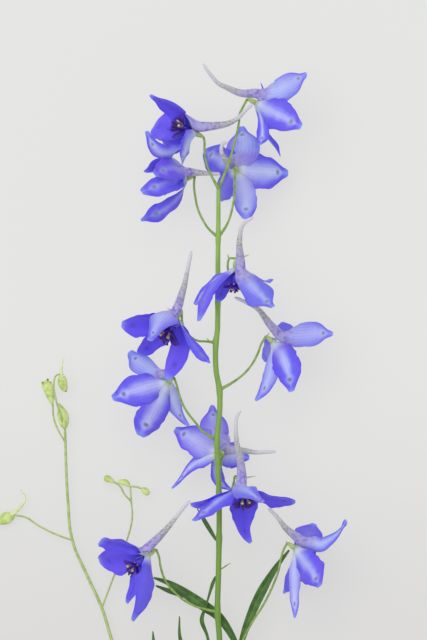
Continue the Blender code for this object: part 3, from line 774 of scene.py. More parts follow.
def joined(name, pieces):
    """One object from several, named for what it is."""
    pick(*pieces)
    bpy.ops.object.join()
    pieces[0].name = name
    pieces[0].data.name = name
    return pieces[0]


def settle(piece, slot, *nodes):
    """Puts a finished piece on the part, in the place of its solid."""
    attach(piece, "root")
    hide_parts(*nodes)


# %% [markdown]
# ## The blank sepal
# A sepal is narrow at its claw, widest past the middle, and drawn in to a small nib at the tip. The blank
# is modelled once, and each of the forty-eight plain sepals is a copy with its own mesh.

# %% Sepal blanks
SEPAL_ACROSS = 10
SEPAL_ALONG = 36
SEPAL_OUTLINES = {
    "broad": ((0.0, 0.40), (0.08, 0.58), (0.20, 0.78), (0.36, 0.95), (0.50, 1.0), (0.62, 0.96),
              (0.74, 0.82), (0.83, 0.60), (0.89, 0.41), (0.94, 0.29), (0.98, 0.23), (1.0, 0.14)),
    "blunt": ((0.0, 0.40), (0.08, 0.56), (0.20, 0.72), (0.38, 0.90), (0.54, 1.0), (0.70, 0.98),
              (0.82, 0.84), (0.90, 0.64), (0.95, 0.46), (0.98, 0.34), (1.0, 0.22)),
    "oar": ((0.0, 0.30), (0.10, 0.36), (0.24, 0.42), (0.40, 0.58), (0.56, 0.84), (0.70, 1.0),
            (0.80, 0.96), (0.88, 0.74), (0.93, 0.44), (0.96, 0.26), (1.0, 0.14)),
    "long": ((0.0, 0.50), (0.08, 0.68), (0.20, 0.86), (0.36, 0.98), (0.52, 1.0), (0.68, 0.94),
             (0.80, 0.80), (0.88, 0.60), (0.94, 0.38), (0.98, 0.26), (1.0, 0.14)),
    "drop": ((0.0, 0.40), (0.08, 0.60), (0.18, 0.88), (0.30, 1.0), (0.46, 0.94), (0.60, 0.74),
             (0.74, 0.50), (0.86, 0.34), (0.94, 0.24), (1.0, 0.12)),
}
EYE_ACROSS = 8
EYE_ALONG = 10
EYE_OUTLINE = ((0.0, 0.30), (0.3, 0.55), (0.6, 0.92), (0.8, 1.0), (0.93, 0.86), (1.0, 0.55))

sepal_blanks = {}
for kind, outline in SEPAL_OUTLINES.items():
    sepal_blanks[kind] = narrow(strip(kind + " sepal blank", SEPAL_ACROSS, SEPAL_ALONG), outline)
eye_blank = narrow(strip("eye petal blank", EYE_ACROSS, EYE_ALONG), EYE_OUTLINE)
print("sepal blanks:", list(sepal_blanks))

# %% [markdown]
# ## The twelve flowers
# Each flower has a seat, where its stalk ends, a way that it faces, the points of its spur and of its
# stalk, and five sepals, each with its tip's place and its full width. The first sepal is the spurred one.
# These are nearly the same places that the solids were built from. The real sepals are soft, though, and
# no two hang alike, so a sepal can also have a look of its own:
#
# - shape is the kind of its outline, and ripple is how deep its edge waves.
# - show is the angle, in degrees, between its inner face and the sky, and turned_by is how far along it
#   has turned there. lean tips it a little more to the sky, or away where it is negative.
# - sway bends its middle and flick bends its end, both in millimetres. hook is the nib's own bend.
# - pale is how wide its light streak is, blush how violet it is, and speckles how freckled its spur is.
#
# A flower's eye is the size of its dark petals and stamens.

# %% Flower places
HUB_FORWARD = 2.5


def sepal(x, y, z, width, **look):
    return Vector((x, y, z)), width, look


def flower(seat, facing, spur, pedicel, sepals, eye=1.0):
    """A flower's places, with its middle, the way that its spur rises, and the way across."""
    made = SimpleNamespace(spur=spur, pedicel=pedicel, sepals=sepals, eye=eye)
    made.seat = Vector(seat)
    made.facing = Vector(facing).normalized()
    made.hub = made.seat + made.facing * HUB_FORWARD
    rise = Vector(spur[0]) - made.hub
    made.rise = (rise - made.facing * rise.dot(made.facing)).normalized()
    made.across = made.facing.cross(made.rise)
    return made


FLOWERS = {
    "01": flower(
        seat=(14.8, 215.0, 25.0), facing=(0.89, -0.43, -0.18),
        spur=((9.2, 218.7, 26.0), (3.0, 221.2, 27.0), (0.0, 222.7, 28.0), (-3.7, 227.0, 29.5),
              (-6.1, 230.6, 30.0)),
        pedicel=((0.2, 180.5, 29.4), (4.7, 192.0, 30.0), (6.1, 196.8, 29.8), (7.3, 201.6, 29.0),
                 (8.4, 207.2, 27.6), (8.8, 210.8, 26.6), (9.8, 212.8, 26.0)),
        sepals=(
            sepal(35.6, 226.4, 27.4, 12.0, show=155, shape="early", pale=1.5, blush=0.2, speckles=0.3),
            sepal(33.6, 205.0, 39.0, 13.5, lean=-0.3, pale=0.6),
            sepal(16.8, 197.2, 37.0, 5.8, show=155, shape="oar", pale=0.6, sway=(1.4, 0.0)),
            sepal(25.6, 194.2, 13.5, 6.5, show=100, shape="oar", pale=0.2),
            sepal(17.2, 223.0, 3.0, 5.0, show=60, shape="drop", hook=0.0, ripple=0.3),
        ),
    ),
    "02": flower(
        seat=(-8.6, 202.4, 31.0), facing=(-0.80, 0.34, 0.49),
        spur=((-1.2, 205.6, 31.5), (4.4, 206.6, 32.0), (8.6, 209.2, 32.0), (11.5, 212.4, 31.5),
              (14.4, 214.4, 31.5)),
        pedicel=((0.2, 180.5, 29.4), (-2.8, 186.0, 30.0), (-4.5, 190.0, 30.4), (-5.4, 195.6, 30.6),
                 (-5.4, 199.2, 30.4)),
        sepals=(
            sepal(-27.2, 217.0, 39.0, 11.0, show=60, ripple=1.0),
            sepal(-26.4, 206.0, 14.0, 13.5, show=25, shape="blunt", ripple=2.0),
            sepal(-21.2, 195.6, 14.0, 12.0, show=25, shape="blunt"),
            sepal(-28.2, 203.8, 38.0, 8.5, show=140, pale=1.1, sway=(-6.4, -12.4, 2.0)),
            sepal(-15.0, 190.4, 48.0, 10.0, show=118, shape="long", pale=1.1),
        ),
    ),
    "03": flower(
        seat=(-12.4, 184.6, 23.0), facing=(-0.90, -0.34, 0.22), eye=0.45,
        spur=((-10.4, 187.0, 24.5), (-6.6, 186.8, 26.0), (-1.2, 186.4, 27.0), (1.2, 186.4, 27.0)),
        pedicel=((0.1, 161.0, 27.6), (-3.7, 164.4, 28.0), (-6.3, 168.4, 27.6), (-8.1, 172.6, 26.6),
                 (-9.2, 178.0, 25.0), (-9.6, 182.0, 23.6)),
        sepals=(
            sepal(-29.2, 186.8, 17.0, 13.0, show=55, sway=(5.0, 12.0, 2.0)),
            sepal(-25.6, 185.6, 39.5, 11.0, show=150, shape="long", pale=0.45, blush=0.4, ripple=2.0,
                  sway=(2.0, 6.0, 2.0)),
            sepal(-30.6, 178.6, 36.0, 10.8, show=145, shape="blunt", pale=0.5, ripple=2.6,
                  sway=(0.0, 1.6)),
            sepal(-31.2, 168.2, 24.0, 8.2, show=150, shape="oar", pale=0.4, ripple=2.2,
                  sway=(1.0, -1.2, -1.0), flick=(-1.2, -0.6)),
            sepal(-21.4, 179.0, 3.0, 8.0, show=90),
        ),
    ),
    "04": flower(
        seat=(7.4, 188.2, 21.5), facing=(0.19, -0.15, -0.97),
        spur=((3.2, 192.0, 27.0), (1.4, 195.0, 28.5), (1.6, 198.0, 29.0), (4.0, 199.4, 29.0)),
        pedicel=((0.1, 161.0, 27.6), (3.7, 166.4, 27.8), (5.7, 172.6, 27.0), (6.6, 178.0, 26.0),
                 (6.8, 182.0, 25.2), (6.8, 186.0, 24.6)),
        sepals=(
            sepal(9.6, 205.2, 5.0, 14.5, show=168, pale=1.6, blush=0.4, sway=(2.0, 0.0)),
            sepal(27.6, 186.8, 9.0, 15.0, pale=1.0),
            sepal(11.2, 168.4, 17.0, 9.8, shape="blunt", pale=1.8, sway=(2.4, 0.0)),
            sepal(1.6, 176.6, 0.0, 10.0, pale=0.2),
            sepal(-4.8, 195.4, 1.0, 13.0, shape="blunt", pale=0.6),
        ),
    ),
    "05": flower(
        seat=(7.0, 149.2, 35.0), facing=(-0.05, -0.99, -0.06), eye=0.75,
        spur=((9.0, 151.2, 38.5), (8.5, 158.0, 40.0), (8.8, 162.0, 40.5), (9.5, 165.2, 40.8),
              (11.6, 167.6, 41.0), (14.4, 169.0, 41.0)),
        pedicel=((0.0, 136.0, 25.3), (3.6, 140.0, 28.0), (4.2, 146.0, 31.0), (3.9, 150.6, 33.0),
                 (4.7, 152.6, 34.0), (6.4, 152.6, 34.6)),
        sepals=(
            sepal(22.0, 132.8, 46.6, 12.0, show=160, pale=0.6, blush=0.15, ripple=1.2,
                  sway=(0.0, -1.6), turned_by=0.3),
            sepal(21.6, 143.6, 18.0, 11.0),
            sepal(0.4, 135.0, 28.0, 7.0, lean=0.4, shape="blunt"),
            sepal(-9.0, 134.0, 31.5, 6.0, shape="blunt", show=150),
            sepal(-7.2, 127.4, 44.4, 7.2, show=130, shape="blunt", pale=0.2, ripple=3.4,
                  sway=(-2.0, 1.2), flick=(0.4, -3.0)),
        ),
    ),
    "06": flower(
        seat=(-16.2, 129.4, 33.0), facing=(-0.48, -0.80, 0.36), eye=1.15,
        spur=((-15.8, 133.8, 36.0), (-14.8, 137.2, 36.5), (-13.4, 142.0, 37.0), (-11.6, 150.8, 37.5),
              (-10.5, 155.8, 37.5)),
        pedicel=((-0.9, 119.0, 23.6), (-4.5, 119.4, 25.2), (-8.4, 119.8, 27.4), (-11.6, 122.0, 29.6),
                 (-14.0, 126.0, 31.6)),
        sepals=(
            sepal(-27.2, 119.6, 47.5, 15.0, shape="drop", show=150, pale=1.1, blush=0.3,
                  sway=(0.0, 8.0, 3.0)),
            sepal(-38.4, 126.0, 37.0, 11.0, show=30, shape="blunt", ripple=3.2, sway=(0.0, -3.4)),
            sepal(-31.6, 113.4, 20.0, 9.5, show=35, shape="blunt"),
            sepal(-20.8, 104.4, 30.5, 9.0, show=20, shape="blunt", sway=(5.0, 1.0)),
            sepal(-3.2, 110.8, 43.0, 5.4, show=140, shape="oar", pale=0.2, hook=0.0,
                  sway=(-0.6, -2.4)),
        ),
    ),
    "07": flower(
        seat=(21.6, 119.6, 24.0), facing=(0.71, -0.59, -0.39), eye=0.7,
        spur=((20.8, 126.2, 26.0), (18.6, 129.2, 27.0), (16.0, 132.4, 28.0), (10.8, 135.2, 29.0),
              (6.4, 137.2, 30.0)),
        pedicel=((0.6, 100.0, 21.9), (8.4, 104.8, 24.0), (12.8, 109.2, 25.0), (16.0, 114.8, 25.6),
                 (17.2, 118.2, 25.6), (18.6, 120.6, 25.4)),
        sepals=(
            sepal(46.0, 122.4, 27.4, 11.0, show=165, pale=1.5, blush=0.2, sway=(0.0, 2.6)),
            sepal(29.6, 99.0, 36.7, 12.2, lean=-0.2, pale=0.6, blush=0.8, ripple=2.4, sway=(2.2, 3.4)),
            sepal(15.2, 95.6, 18.5, 6.5, show=155, shape="long", pale=1.8, sway=(3.8, 0.0),
                  flick=(-1.4, -0.8)),
            sepal(18.8, 112.4, 0.0, 9.0, shape="blunt", show=150, pale=0.2),
            sepal(25.8, 127.2, 1.0, 9.0, shape="oar", show=165, pale=0.0, ripple=0.8, hook=0.0,
                  sway=(2.4, 0.0)),
        ),
    ),
    "08": flower(
        seat=(-19.6, 103.6, 23.0), facing=(-0.57, -0.44, -0.70),
        spur=((-18.4, 107.0, 26.4), (-18.2, 109.8, 26.8), (-18.0, 112.6, 26.4), (-18.0, 114.8, 25.8)),
        pedicel=((-0.4, 80.0, 20.0), (-5.4, 82.8, 21.6), (-9.2, 87.2, 23.2), (-13.2, 92.6, 24.6),
                 (-15.4, 97.8, 25.4), (-16.4, 101.6, 25.4)),
        sepals=(
            sepal(-35.4, 115.2, 13.0, 10.5, show=155, shape="oar", pale=1.6, blush=0.1,
                  flick=(-0.6, 2.0)),
            sepal(-42.2, 96.4, 25.0, 14.5, pale=0.7, blush=0.3, sway=(0.0, 1.2)),
            sepal(-31.4, 81.8, 23.0, 13.5, shape="blunt", pale=0.8, blush=0.3, ripple=2.6),
            sepal(-12.0, 85.6, 14.5, 9.4, show=155, shape="drop", pale=1.9, sway=(-1.4, 0.0),
                  flick=(1.8, -1.2)),
            sepal(-18.6, 101.2, 0.0, 10.0),
        ),
    ),
    "09": flower(
        seat=(0.8, 74.8, 15.6), facing=(-0.44, -0.03, -0.90), eye=0.65,
        spur=((6.4, 76.0, 19.0), (11.0, 75.6, 20.0), (15.6, 75.0, 21.0), (20.0, 75.2, 21.5),
              (23.6, 75.4, 22.0)),
        pedicel=((0.3, 57.0, 17.7), (0.3, 62.0, 16.8), (0.6, 67.0, 17.0), (1.4, 71.6, 17.6)),
        sepals=(
            sepal(-2.4, 93.6, 5.0, 12.5, shape="early", show=165, pale=1.3, blush=0.5, speckles=0.2),
            sepal(-17.2, 84.0, 10.0, 13.5, pale=1.3, blush=0.3),
            sepal(-18.0, 60.2, 9.0, 6.5, show=140, shape="drop", pale=0.9, sway=(-4.0, 4.4),
                  flick=(-2.2, -1.6)),
            sepal(5.4, 60.4, 0.5, 5.4, shape="long", pale=0.9, sway=(-5.4, -3.0),
                  flick=(2.6, 0.6)),
            sepal(12.0, 72.8, 1.0, 11.0, pale=1.1, ripple=0.7),
        ),
    ),
    "10": flower(
        seat=(8.8, 62.4, 24.0), facing=(0.22, -0.85, 0.47), eye=0.88,
        spur=((9.4, 67.0, 27.6), (8.8, 73.0, 28.4), (7.8, 77.0, 28.6), (7.1, 84.0, 29.0), (7.6, 89.6, 29.0),
              (9.4, 91.8, 29.0)),
        pedicel=((0.4, 40.0, 15.6), (0.4, 44.0, 14.6), (0.5, 50.0, 15.0), (1.8, 56.0, 15.8),
                 (5.2, 59.8, 17.0), (6.4, 63.5, 19.4), (6.8, 65.4, 21.0)),
        sepals=(
            sepal(18.2, 55.0, 44.0, 10.2, shape="drop", show=155, pale=0.55, blush=0.5, speckles=0.35,
                  sway=(-5.2, 0.8, 1.0), turned_by=0.3),
            sepal(31.0, 55.4, 25.0, 10.0, show=62, shape="blunt", hook=0.0, sway=(0.0, -3.0)),
            sepal(13.4, 38.6, 14.0, 12.2, show=15, shape="drop", sway=(-0.4, -1.0),
                  flick=(3.0, -0.6)),
            sepal(-11.0, 53.6, 26.0, 7.5, show=50, shape="blunt"),
            sepal(-9.8, 47.2, 38.0, 10.5, show=128, pale=0.5, ripple=2.0, flick=(-1.0, -1.2)),
        ),
    ),
    "11": flower(
        seat=(-27.4, 34.2, 22.0), facing=(-0.76, -0.62, 0.18),
        spur=((-23.6, 41.2, 24.6), (-19.4, 45.8, 25.4), (-15.2, 51.2, 26.0), (-11.0, 56.2, 26.5)),
        pedicel=((-0.2, 11.0, 13.3), (-5.3, 12.2, 14.4), (-11.0, 14.2, 16.0), (-16.8, 18.4, 17.8),
                 (-21.0, 23.6, 19.4), (-23.0, 29.4, 20.8), (-23.6, 33.2, 21.4)),
        sepals=(
            sepal(-46.6, 39.8, 35.0, 9.6, show=45, shape="blunt", ripple=1.6, sway=(0.0, 1.4)),
            sepal(-48.0, 31.2, 11.0, 12.4, show=30, shape="blunt", ripple=3.2, sway=(0.0, -1.4)),
            sepal(-37.2, 14.4, 8.5, 10.5, show=35, shape="drop", ripple=1.8),
            sepal(-31.6, 14.4, 24.0, 9.5, shape="drop"),
            sepal(-34.8, 8.0, 34.0, 10.0, show=140, pale=0.0, ripple=2.4, sway=(-0.6, 1.6),
                  flick=(-1.4, -0.6)),
        ),
    ),
    "12": flower(
        seat=(30.4, 37.0, 21.0), facing=(0.77, -0.54, -0.34), eye=0.7,
        spur=((27.4, 44.4, 23.0), (23.6, 49.2, 24.0), (20.0, 52.8, 25.0)),
        pedicel=((0.6, -24.0, 9.8), (5.6, -11.2, 11.6), (10.3, 0.4, 13.4), (13.9, 7.2, 15.0),
                 (18.2, 14.0, 17.0), (21.4, 20.4, 18.8), (24.2, 27.6, 20.6), (25.3, 32.8, 21.6),
                 (26.4, 36.4, 22.2)),
        sepals=(
            sepal(51.6, 48.0, 27.0, 6.8, shape="flared", show=150, pale=0.9, blush=0.4,
                  sway=(3.0, -3.4), flick=(1.4, 2.4)),
            sepal(41.2, 21.4, 36.5, 12.5, lean=-0.2, ripple=3.6, blush=0.4, pale=0.6, sway=(0.0, 0.8)),
            sepal(31.0, 8.8, 22.0, 4.6, show=160, shape="long", pale=1.9),
            sepal(26.8, 18.6, 3.0, 6.5, shape="oar", show=150, pale=0.1, sway=(3.2, 0.0)),
            sepal(38.4, 45.6, 0.0, 13.0, shape="oar", show=165, pale=0.2, ripple=1.0),
        ),
    ),
}

# %% [markdown]
# ## One sepal's path
# A real sepal leaves the flower's middle, bows a little forwards and ends at its tip. The path is one
# bow from the middle to the tip, as the solid's is, bent further by the sepal's own sway and flick. The
# inner face starts out towards the way that the flower faces, and is carried along the path.

# %% Sepal paths
CLAW_ROOT = 0.75
CLAW_SUNK = 0.1
CLAW_OUT = 0.24
CLAW_FORWARD = 0.06
CLAW_SWAY = 0.67
SEPAL_BOW_OUT = 0.44
SEPAL_BOW_FORWARD = 0.16
BOW_TO_TIP = 0.33
CUP_ANGLE = 0.42
CLAW_CUP_END = 0.4
CLAW_SPREAD = 10.0
HOOK_FROM = 0.86
FLICK_FROM = 0.72
SEPAL_WALL = 0.32
UNBENT = (0.0, 0.0)
PLAIN_LOOK = {"shape": "broad", "ripple": 1.2, "show": None, "turned_by": 0.45, "lean": 0.0, "sway": UNBENT,
              "flick": UNBENT, "hook": 0.9, "pale": 0.8, "blush": 0.15}
SPURRED_LOOK = {**PLAIN_LOOK, "ripple": 0.6, "turned_by": 0.16, "speckles": 0.5}


def bow(start, first, second, end, share):
    """A place on a smooth bow that leaves its start towards first and reaches its end from second."""
    rest = 1.0 - share
    return (start * rest ** 3 + first * 3.0 * rest * rest * share
            + second * 3.0 * rest * share * share + end * share ** 3)


def near_end(along, start):
    """How far along a place is between a start and the tip, 0 before the start and squared after it."""
    return max(0.0, (along - start) / (1.0 - start)) ** 2


def sepal_path(bloom, tip, look, count):
    """The points of a sepal's midrib, and the way that it reaches out."""
    hub, facing = bloom.hub, bloom.facing
    reach = tip - hub
    outward = (reach - facing * reach.dot(facing)).normalized()
    start = hub + outward * CLAW_ROOT - facing * (HUB_FORWARD - CLAW_SUNK)
    sway, flick = Vector(look.sway).to_3d(), Vector(look.flick).to_3d()
    tip = tip - flick
    first = hub + (outward * CLAW_OUT + facing * CLAW_FORWARD) * reach.length + sway * CLAW_SWAY
    second = hub + (outward * SEPAL_BOW_OUT + facing * SEPAL_BOW_FORWARD) * reach.length + sway
    second += (tip - second) * BOW_TO_TIP
    points = []
    for share in shares(count):
        points.append(bow(start, first, second, tip, share) + flick * near_end(share, FLICK_FROM))
    return points, outward


def bent(width, along):
    """How much a sepal curls across itself: tightly round the flower's middle, then only a little."""
    round_middle = max(0.0, 1.0 - along / CLAW_CUP_END) / (1.0 + CLAW_SPREAD * along)
    return CUP_ANGLE * 2.0 / width + round_middle


def eased(share):
    """A soft step from 0 to 1."""
    share = min(max(share, 0.0), 1.0)
    return share * share * (3.0 - 2.0 * share)


def wrapped(angle):
    """The same angle, between minus a half turn and a half turn."""
    return (angle + pi) % (2.0 * pi) - pi


def turned(points, sides, look):
    """Turns a sepal about its own length, until its inner face stands at look's angle to the sky."""
    if look.show is None:
        return sides
    middle = len(points) * 2 // 3
    across, lift = sides[middle]
    ahead = (points[middle + 1] - points[middle - 1]).normalized()
    sky = (SKY - ahead * ahead.z).normalized()
    to_sky = atan2(sky.dot(across), sky.dot(lift))
    turn = min((wrapped(to_sky + radians(look.show * sign)) for sign in (1.0, -1.0)), key=abs)
    made = []
    for share, (across, lift) in zip(shares(len(sides) - 1), sides):
        angle = turn * eased(share / look.turned_by)
        made.append((across * cos(angle) - lift * sin(angle), lift * cos(angle) + across * sin(angle)))
    return made


def plain_sepal(name, bloom, spec, seed):
    tip, width, look = spec
    look = SimpleNamespace(**{**PLAIN_LOOK, **look})
    points, outward = sepal_path(bloom, tip, look, SEPAL_ALONG)
    sides = turned(points, carried(points, bloom.facing, look.lean), look)
    rows = []
    for along, point, (across, lift) in zip(shares(SEPAL_ALONG), points, sides):
        point = point - lift * (look.hook * near_end(along, HOOK_FROM))
        rows.append(Row(point, across, lift, width / 2.0, bent(width, along)))
    piece = lay(copied(sepal_blanks[look.shape], name), rows, look.ripple, 0.0, seed)
    carry(piece, pale=look.pale, blush=look.blush)
    return thicken(paint(piece, SEPAL_INNER, SEPAL_OUTER), SEPAL_WALL)


# %% [markdown]
# ## The spurred sepal
# The uppermost sepal and the spur are one petal: it is rolled into a closed horn behind the flower and
# opens out into a blade above it. So it is made as one sheet. Its rows start at the spur's tip with a
# curl so tight that the two edges meet, pass the mouth, and then the curl relaxes row by row.

# %% Spurred sepal
UPPER_ACROSS = 16
SPUR_ROWS = 22
BLADE_ROWS = 22
SPUR_RISE = 3.8
MOUTH_RISE = 2.0
SPUR_RADIUS = ((0.0, 0.02), (0.012, 0.42), (0.04, 0.66), (0.18, 0.74), (0.35, 0.88), (0.52, 1.1),
               (0.68, 1.42), (0.85, 1.78), (1.0, 2.1))
# From the mouth to the blade's tip: the share of the width, and half the angle that the sheet curls by
OPENING = ((0.0, 1.0, 3.1416), (0.06, 1.0, 2.4), (0.13, 1.0, 1.6), (0.22, 1.0, 1.1), (0.35, 1.0, 0.75),
           (0.55, 1.0, 0.5), (0.68, 0.92, 0.4), (0.78, 0.68, 0.35), (0.85, 0.42, 0.3), (0.91, 0.28, 0.25),
           (0.97, 0.22, 0.2), (1.0, 0.12, 0.2))
# How other blades differ from that width
BLADE_SHARES = {
    "broad": ((0.0, 1.0), (1.0, 1.0)),
    "oar": ((0.0, 0.8), (0.3, 0.72), (0.65, 1.0), (1.0, 1.6)),
    "blunt": ((0.0, 0.6), (0.4, 0.6), (0.65, 1.0), (0.85, 1.6), (1.0, 3.6)),
    "early": ((0.0, 1.0), (0.08, 1.4), (0.2, 1.25), (0.35, 1.05), (0.6, 1.0), (1.0, 0.95)),
    "flared": ((0.0, 1.0), (0.25, 1.1), (0.4, 0.9), (0.6, 0.62), (0.75, 0.44), (0.86, 0.55), (0.94, 1.5),
               (1.0, 1.1)),
    "drop": ((0.0, 1.0), (0.25, 1.1), (0.4, 0.9), (0.6, 0.6), (0.75, 0.5), (0.88, 0.75), (1.0, 1.0)),
}
OPENED_BY = 0.2
BLADE_FROM = 0.40
BLADE_KNOT_STEP = 3
NEAREST_KNOTS = 0.5
MARK_BEFORE_MOUTH = -0.12
SHEET_SEAM = 0.002


def with_marks(points):
    """Points with their marks, spread from 0 to 1 by the distance between them."""
    lengths = [0.0]
    for near, far in zip(points, points[1:]):
        lengths.append(lengths[-1] + (far - near).length)
    return [(length / lengths[-1], *point) for length, point in zip(lengths, points)]


def spur_rows(bloom, top):
    """The rows of the closed horn, from the spur's tip to its mouth."""
    spine = [Vector(point) for point in reversed(bloom.spur)]
    spine += [bloom.seat + bloom.rise * SPUR_RISE, bloom.hub + bloom.rise * MOUTH_RISE]
    table = with_marks(spine)
    mouth_at = table[-2][0]
    centres = [read_off(table, mouth_at * step / SPUR_ROWS) for step in range(SPUR_ROWS + 1)]
    rows = []
    back = top
    for step, ahead in reversed(list(enumerate(ways(centres)))):
        back = (back - ahead * back.dot(ahead)).normalized()
        radius = read_off(SPUR_RADIUS, step / SPUR_ROWS)[0]
        point = centres[step] + back * radius
        rows.insert(0, Row(point, ahead.cross(-back), -back, pi * radius, 1.0 / radius))
    return rows


def add_blade(rows, midrib, width, look):
    """Adds the blade's rows to the spur's, from the mouth to the tip."""
    start, lift = rows[-1].half, rows[-1].lift
    first = round(BLADE_FROM * BLADE_ROWS)
    knots = [rows[-1].point] + midrib[first::BLADE_KNOT_STEP] + [midrib[-1]]
    if (knots[-1] - knots[-2]).length < NEAREST_KNOTS:
        knots.pop(-2)
    marks = [(MARK_BEFORE_MOUTH, *rows[-3].point)] + with_marks(knots)
    blade = [read_off(marks, share) for share in shares(BLADE_ROWS)]
    sides = turned(blade, carried(blade, lift, look.lean), look)
    for along, point, (across, lift) in list(zip(shares(BLADE_ROWS), blade, sides))[1:]:
        share, angle = read_off(OPENING, along)
        share *= read_off(BLADE_SHARES[look.shape], along)[0]
        half = (start + (width / 2.0 - start) * min(along / OPENED_BY, 1.0)) * share
        point = point - lift * (look.hook * near_end(along, HOOK_FROM))
        rows.append(Row(point, across, lift, half, angle / half))


def spurred_sepal(name, bloom, seed):
    tip, width, look = bloom.sepals[0]
    look = SimpleNamespace(**{**SPURRED_LOOK, **look})
    midrib, outward = sepal_path(bloom, tip, look, BLADE_ROWS)
    rows = spur_rows(bloom, (bloom.rise + outward).normalized())
    add_blade(rows, midrib, width, look)
    piece = lay(strip(name, UPPER_ACROSS, SPUR_ROWS + BLADE_ROWS), rows, look.ripple, 0.0, seed)
    merge_doubles(piece, SHEET_SEAM)
    carry(piece, pale=look.pale, blush=look.blush, speckles=look.speckles)
    return thicken(paint(piece, UPPER_INNER, UPPER_FACE), SEPAL_WALL, 1.0)


# %% [markdown]
# ## Round solids along a path
# Buds, anthers and the flower's own base are round and pointed, so each starts as a sphere and is drawn
# out along a path, with its own radius at each place and its two poles closed. Stems and stalks are
# curves with a round bevel.

# %% Drawing a sphere out along a path
ASLANT = Vector((0.3, 0.2, 1.0))
TUBE_SEAM = 0.001
RIDGE_COUNT = 5.0
DOME = 1.6
POLE = 0.0001


def drawn_out(name, points, radii, material, segments=14, rings=12, ridges=0.0, turn=0.0):
    """A sphere laid along a path, with a radius at each point and five soft ridges."""
    piece = primitive(name, bpy.ops.mesh.primitive_uv_sphere_add, segments=segments, ring_count=rings,
                      radius=1.0)
    knots = [Vector(point) for point in points]
    path = with_marks(knots)
    widths = [(mark[0], radius) for mark, radius in zip(path, radii)]
    axis = (knots[-1] - knots[0]).normalized()
    across = axis.cross(ASLANT).normalized()
    up = across.cross(axis)
    for vertex in piece.data.vertices:
        x, y, z = vertex.co
        level = (z + 1.0) / 2.0
        point = read_off(path, level)
        ring = (x * x + y * y) ** 0.5
        if ring > POLE:
            angle = Vector((x, y)).angle_signed(Vector((1.0, 0.0)), 0.0)
            radius = read_off(widths, level)[0] * min(1.0, ring * DOME)
            radius *= 1.0 + ridges * cos(RIDGE_COUNT * angle + turn)
            point += (across * (x / ring) + up * (y / ring)) * radius
        vertex.co = place(point)
    bpy.ops.object.shade_smooth()
    return paint(piece, material)


def tube(name, points, radii, material, sides=10, steps=4):
    """A closed round stalk along a smooth curve through the points."""
    curve = primitive(name, bpy.ops.curve.primitive_bezier_curve_add, radius=1.0).data
    curve.splines.clear()
    curve.bevel_depth = MM
    curve.bevel_resolution = sides // 2 - 2
    curve.use_fill_caps = True
    curve.resolution_u = steps
    spline = curve.splines.new("BEZIER")
    spline.bezier_points.add(len(points) - 1)
    for knot, point, radius in zip(spline.bezier_points, points, radii):
        knot.co = place(point)
        knot.radius = radius
        knot.handle_left_type = "AUTO"
        knot.handle_right_type = "AUTO"
    bpy.ops.object.convert(target="MESH")
    piece = bpy.context.object
    merge_doubles(piece, TUBE_SEAM)
    bpy.ops.object.shade_smooth()
    return paint(piece, material)


# %% [markdown]
# ## The eye and its stamens
# Four small petals stand round a bunch of stamens, and all four copy one blank. The stamens are thin
# filaments that spread from the middle, each with a dark anther on its end. Two pale lips stand before
# them.

# %% Eye of a flower
EYE_ROOT = 3.9
# Each petal: its turn round the middle and its lean, in degrees, its length and its width
EYE_PETALS = ((32, 45, 5.2, 5.6), (-37, 47, 5.3, 5.7), (120, 54, 5.7, 6.4), (-125, 52, 5.8, 6.5))
EYE_PETAL_ROOT = 0.5
EYE_PETAL_BOW = 0.9
EYE_PETAL_RIPPLE = 0.9
EYE_WALL = 0.3
EYE_CUP = 0.55
STAMEN_COUNT = 9
STAMEN_LENGTH = 4.9
STAMEN_SHORTER = 0.35
STAMEN_SPREAD = 7.0
GOLDEN_TURN = 2.4
STAMEN_RING = 0.35
STAMEN_DROOP = 0.8
STAMEN_BOW = 0.25
FILAMENT_RADII = (0.17, 0.17, 0.17)
ANTHER_BEHIND = 0.5
ANTHER_AHEAD = 0.6
ANTHER_RADII = (0.26, 0.38, 0.24)
LIP_APART = 0.7
LIP_ROOT_RISE = 0.8
LIP_LENGTH = 4.0
LIP_RISE = 0.2
LIP_MIDDLE = 0.6
LIP_RADII = (0.3, 0.5, 0.8)
LIP_RIDGES = 0.06
CORE_BEHIND = 0.6
CORE_AHEAD = 0.8
CORE_RADII = (1.2, 1.5, 0.9)


def eye_petals(name, bloom, seed):
    root = bloom.hub + bloom.facing * EYE_ROOT
    made = []
    for number, (clock, lean, length, width) in enumerate(EYE_PETALS):
        length, width = length * bloom.eye, width * bloom.eye
        outward = bloom.rise * cos(radians(clock)) + bloom.across * sin(radians(clock))
        along = bloom.facing * cos(radians(lean)) + outward * sin(radians(lean))
        lift = bloom.facing * sin(radians(lean)) - outward * cos(radians(lean))
        start = root + outward * EYE_PETAL_ROOT
        rows = []
        for share in shares(EYE_ALONG):
            point = start + along * length * share - lift * EYE_PETAL_BOW * share * share
            rows.append(Row(point, along.cross(lift), lift, width / 2.0, EYE_CUP * 2.0 / width))
        piece = lay(copied(eye_blank, name), rows, EYE_PETAL_RIPPLE, 0.0, seed + number)
        made.append(thicken(paint(piece, EYE), EYE_WALL))
    core = (bloom.hub, root - bloom.facing * CORE_BEHIND, root + bloom.facing * CORE_AHEAD)
    made.append(drawn_out(name, core, CORE_RADII, THROAT))
    return joined(name, made)


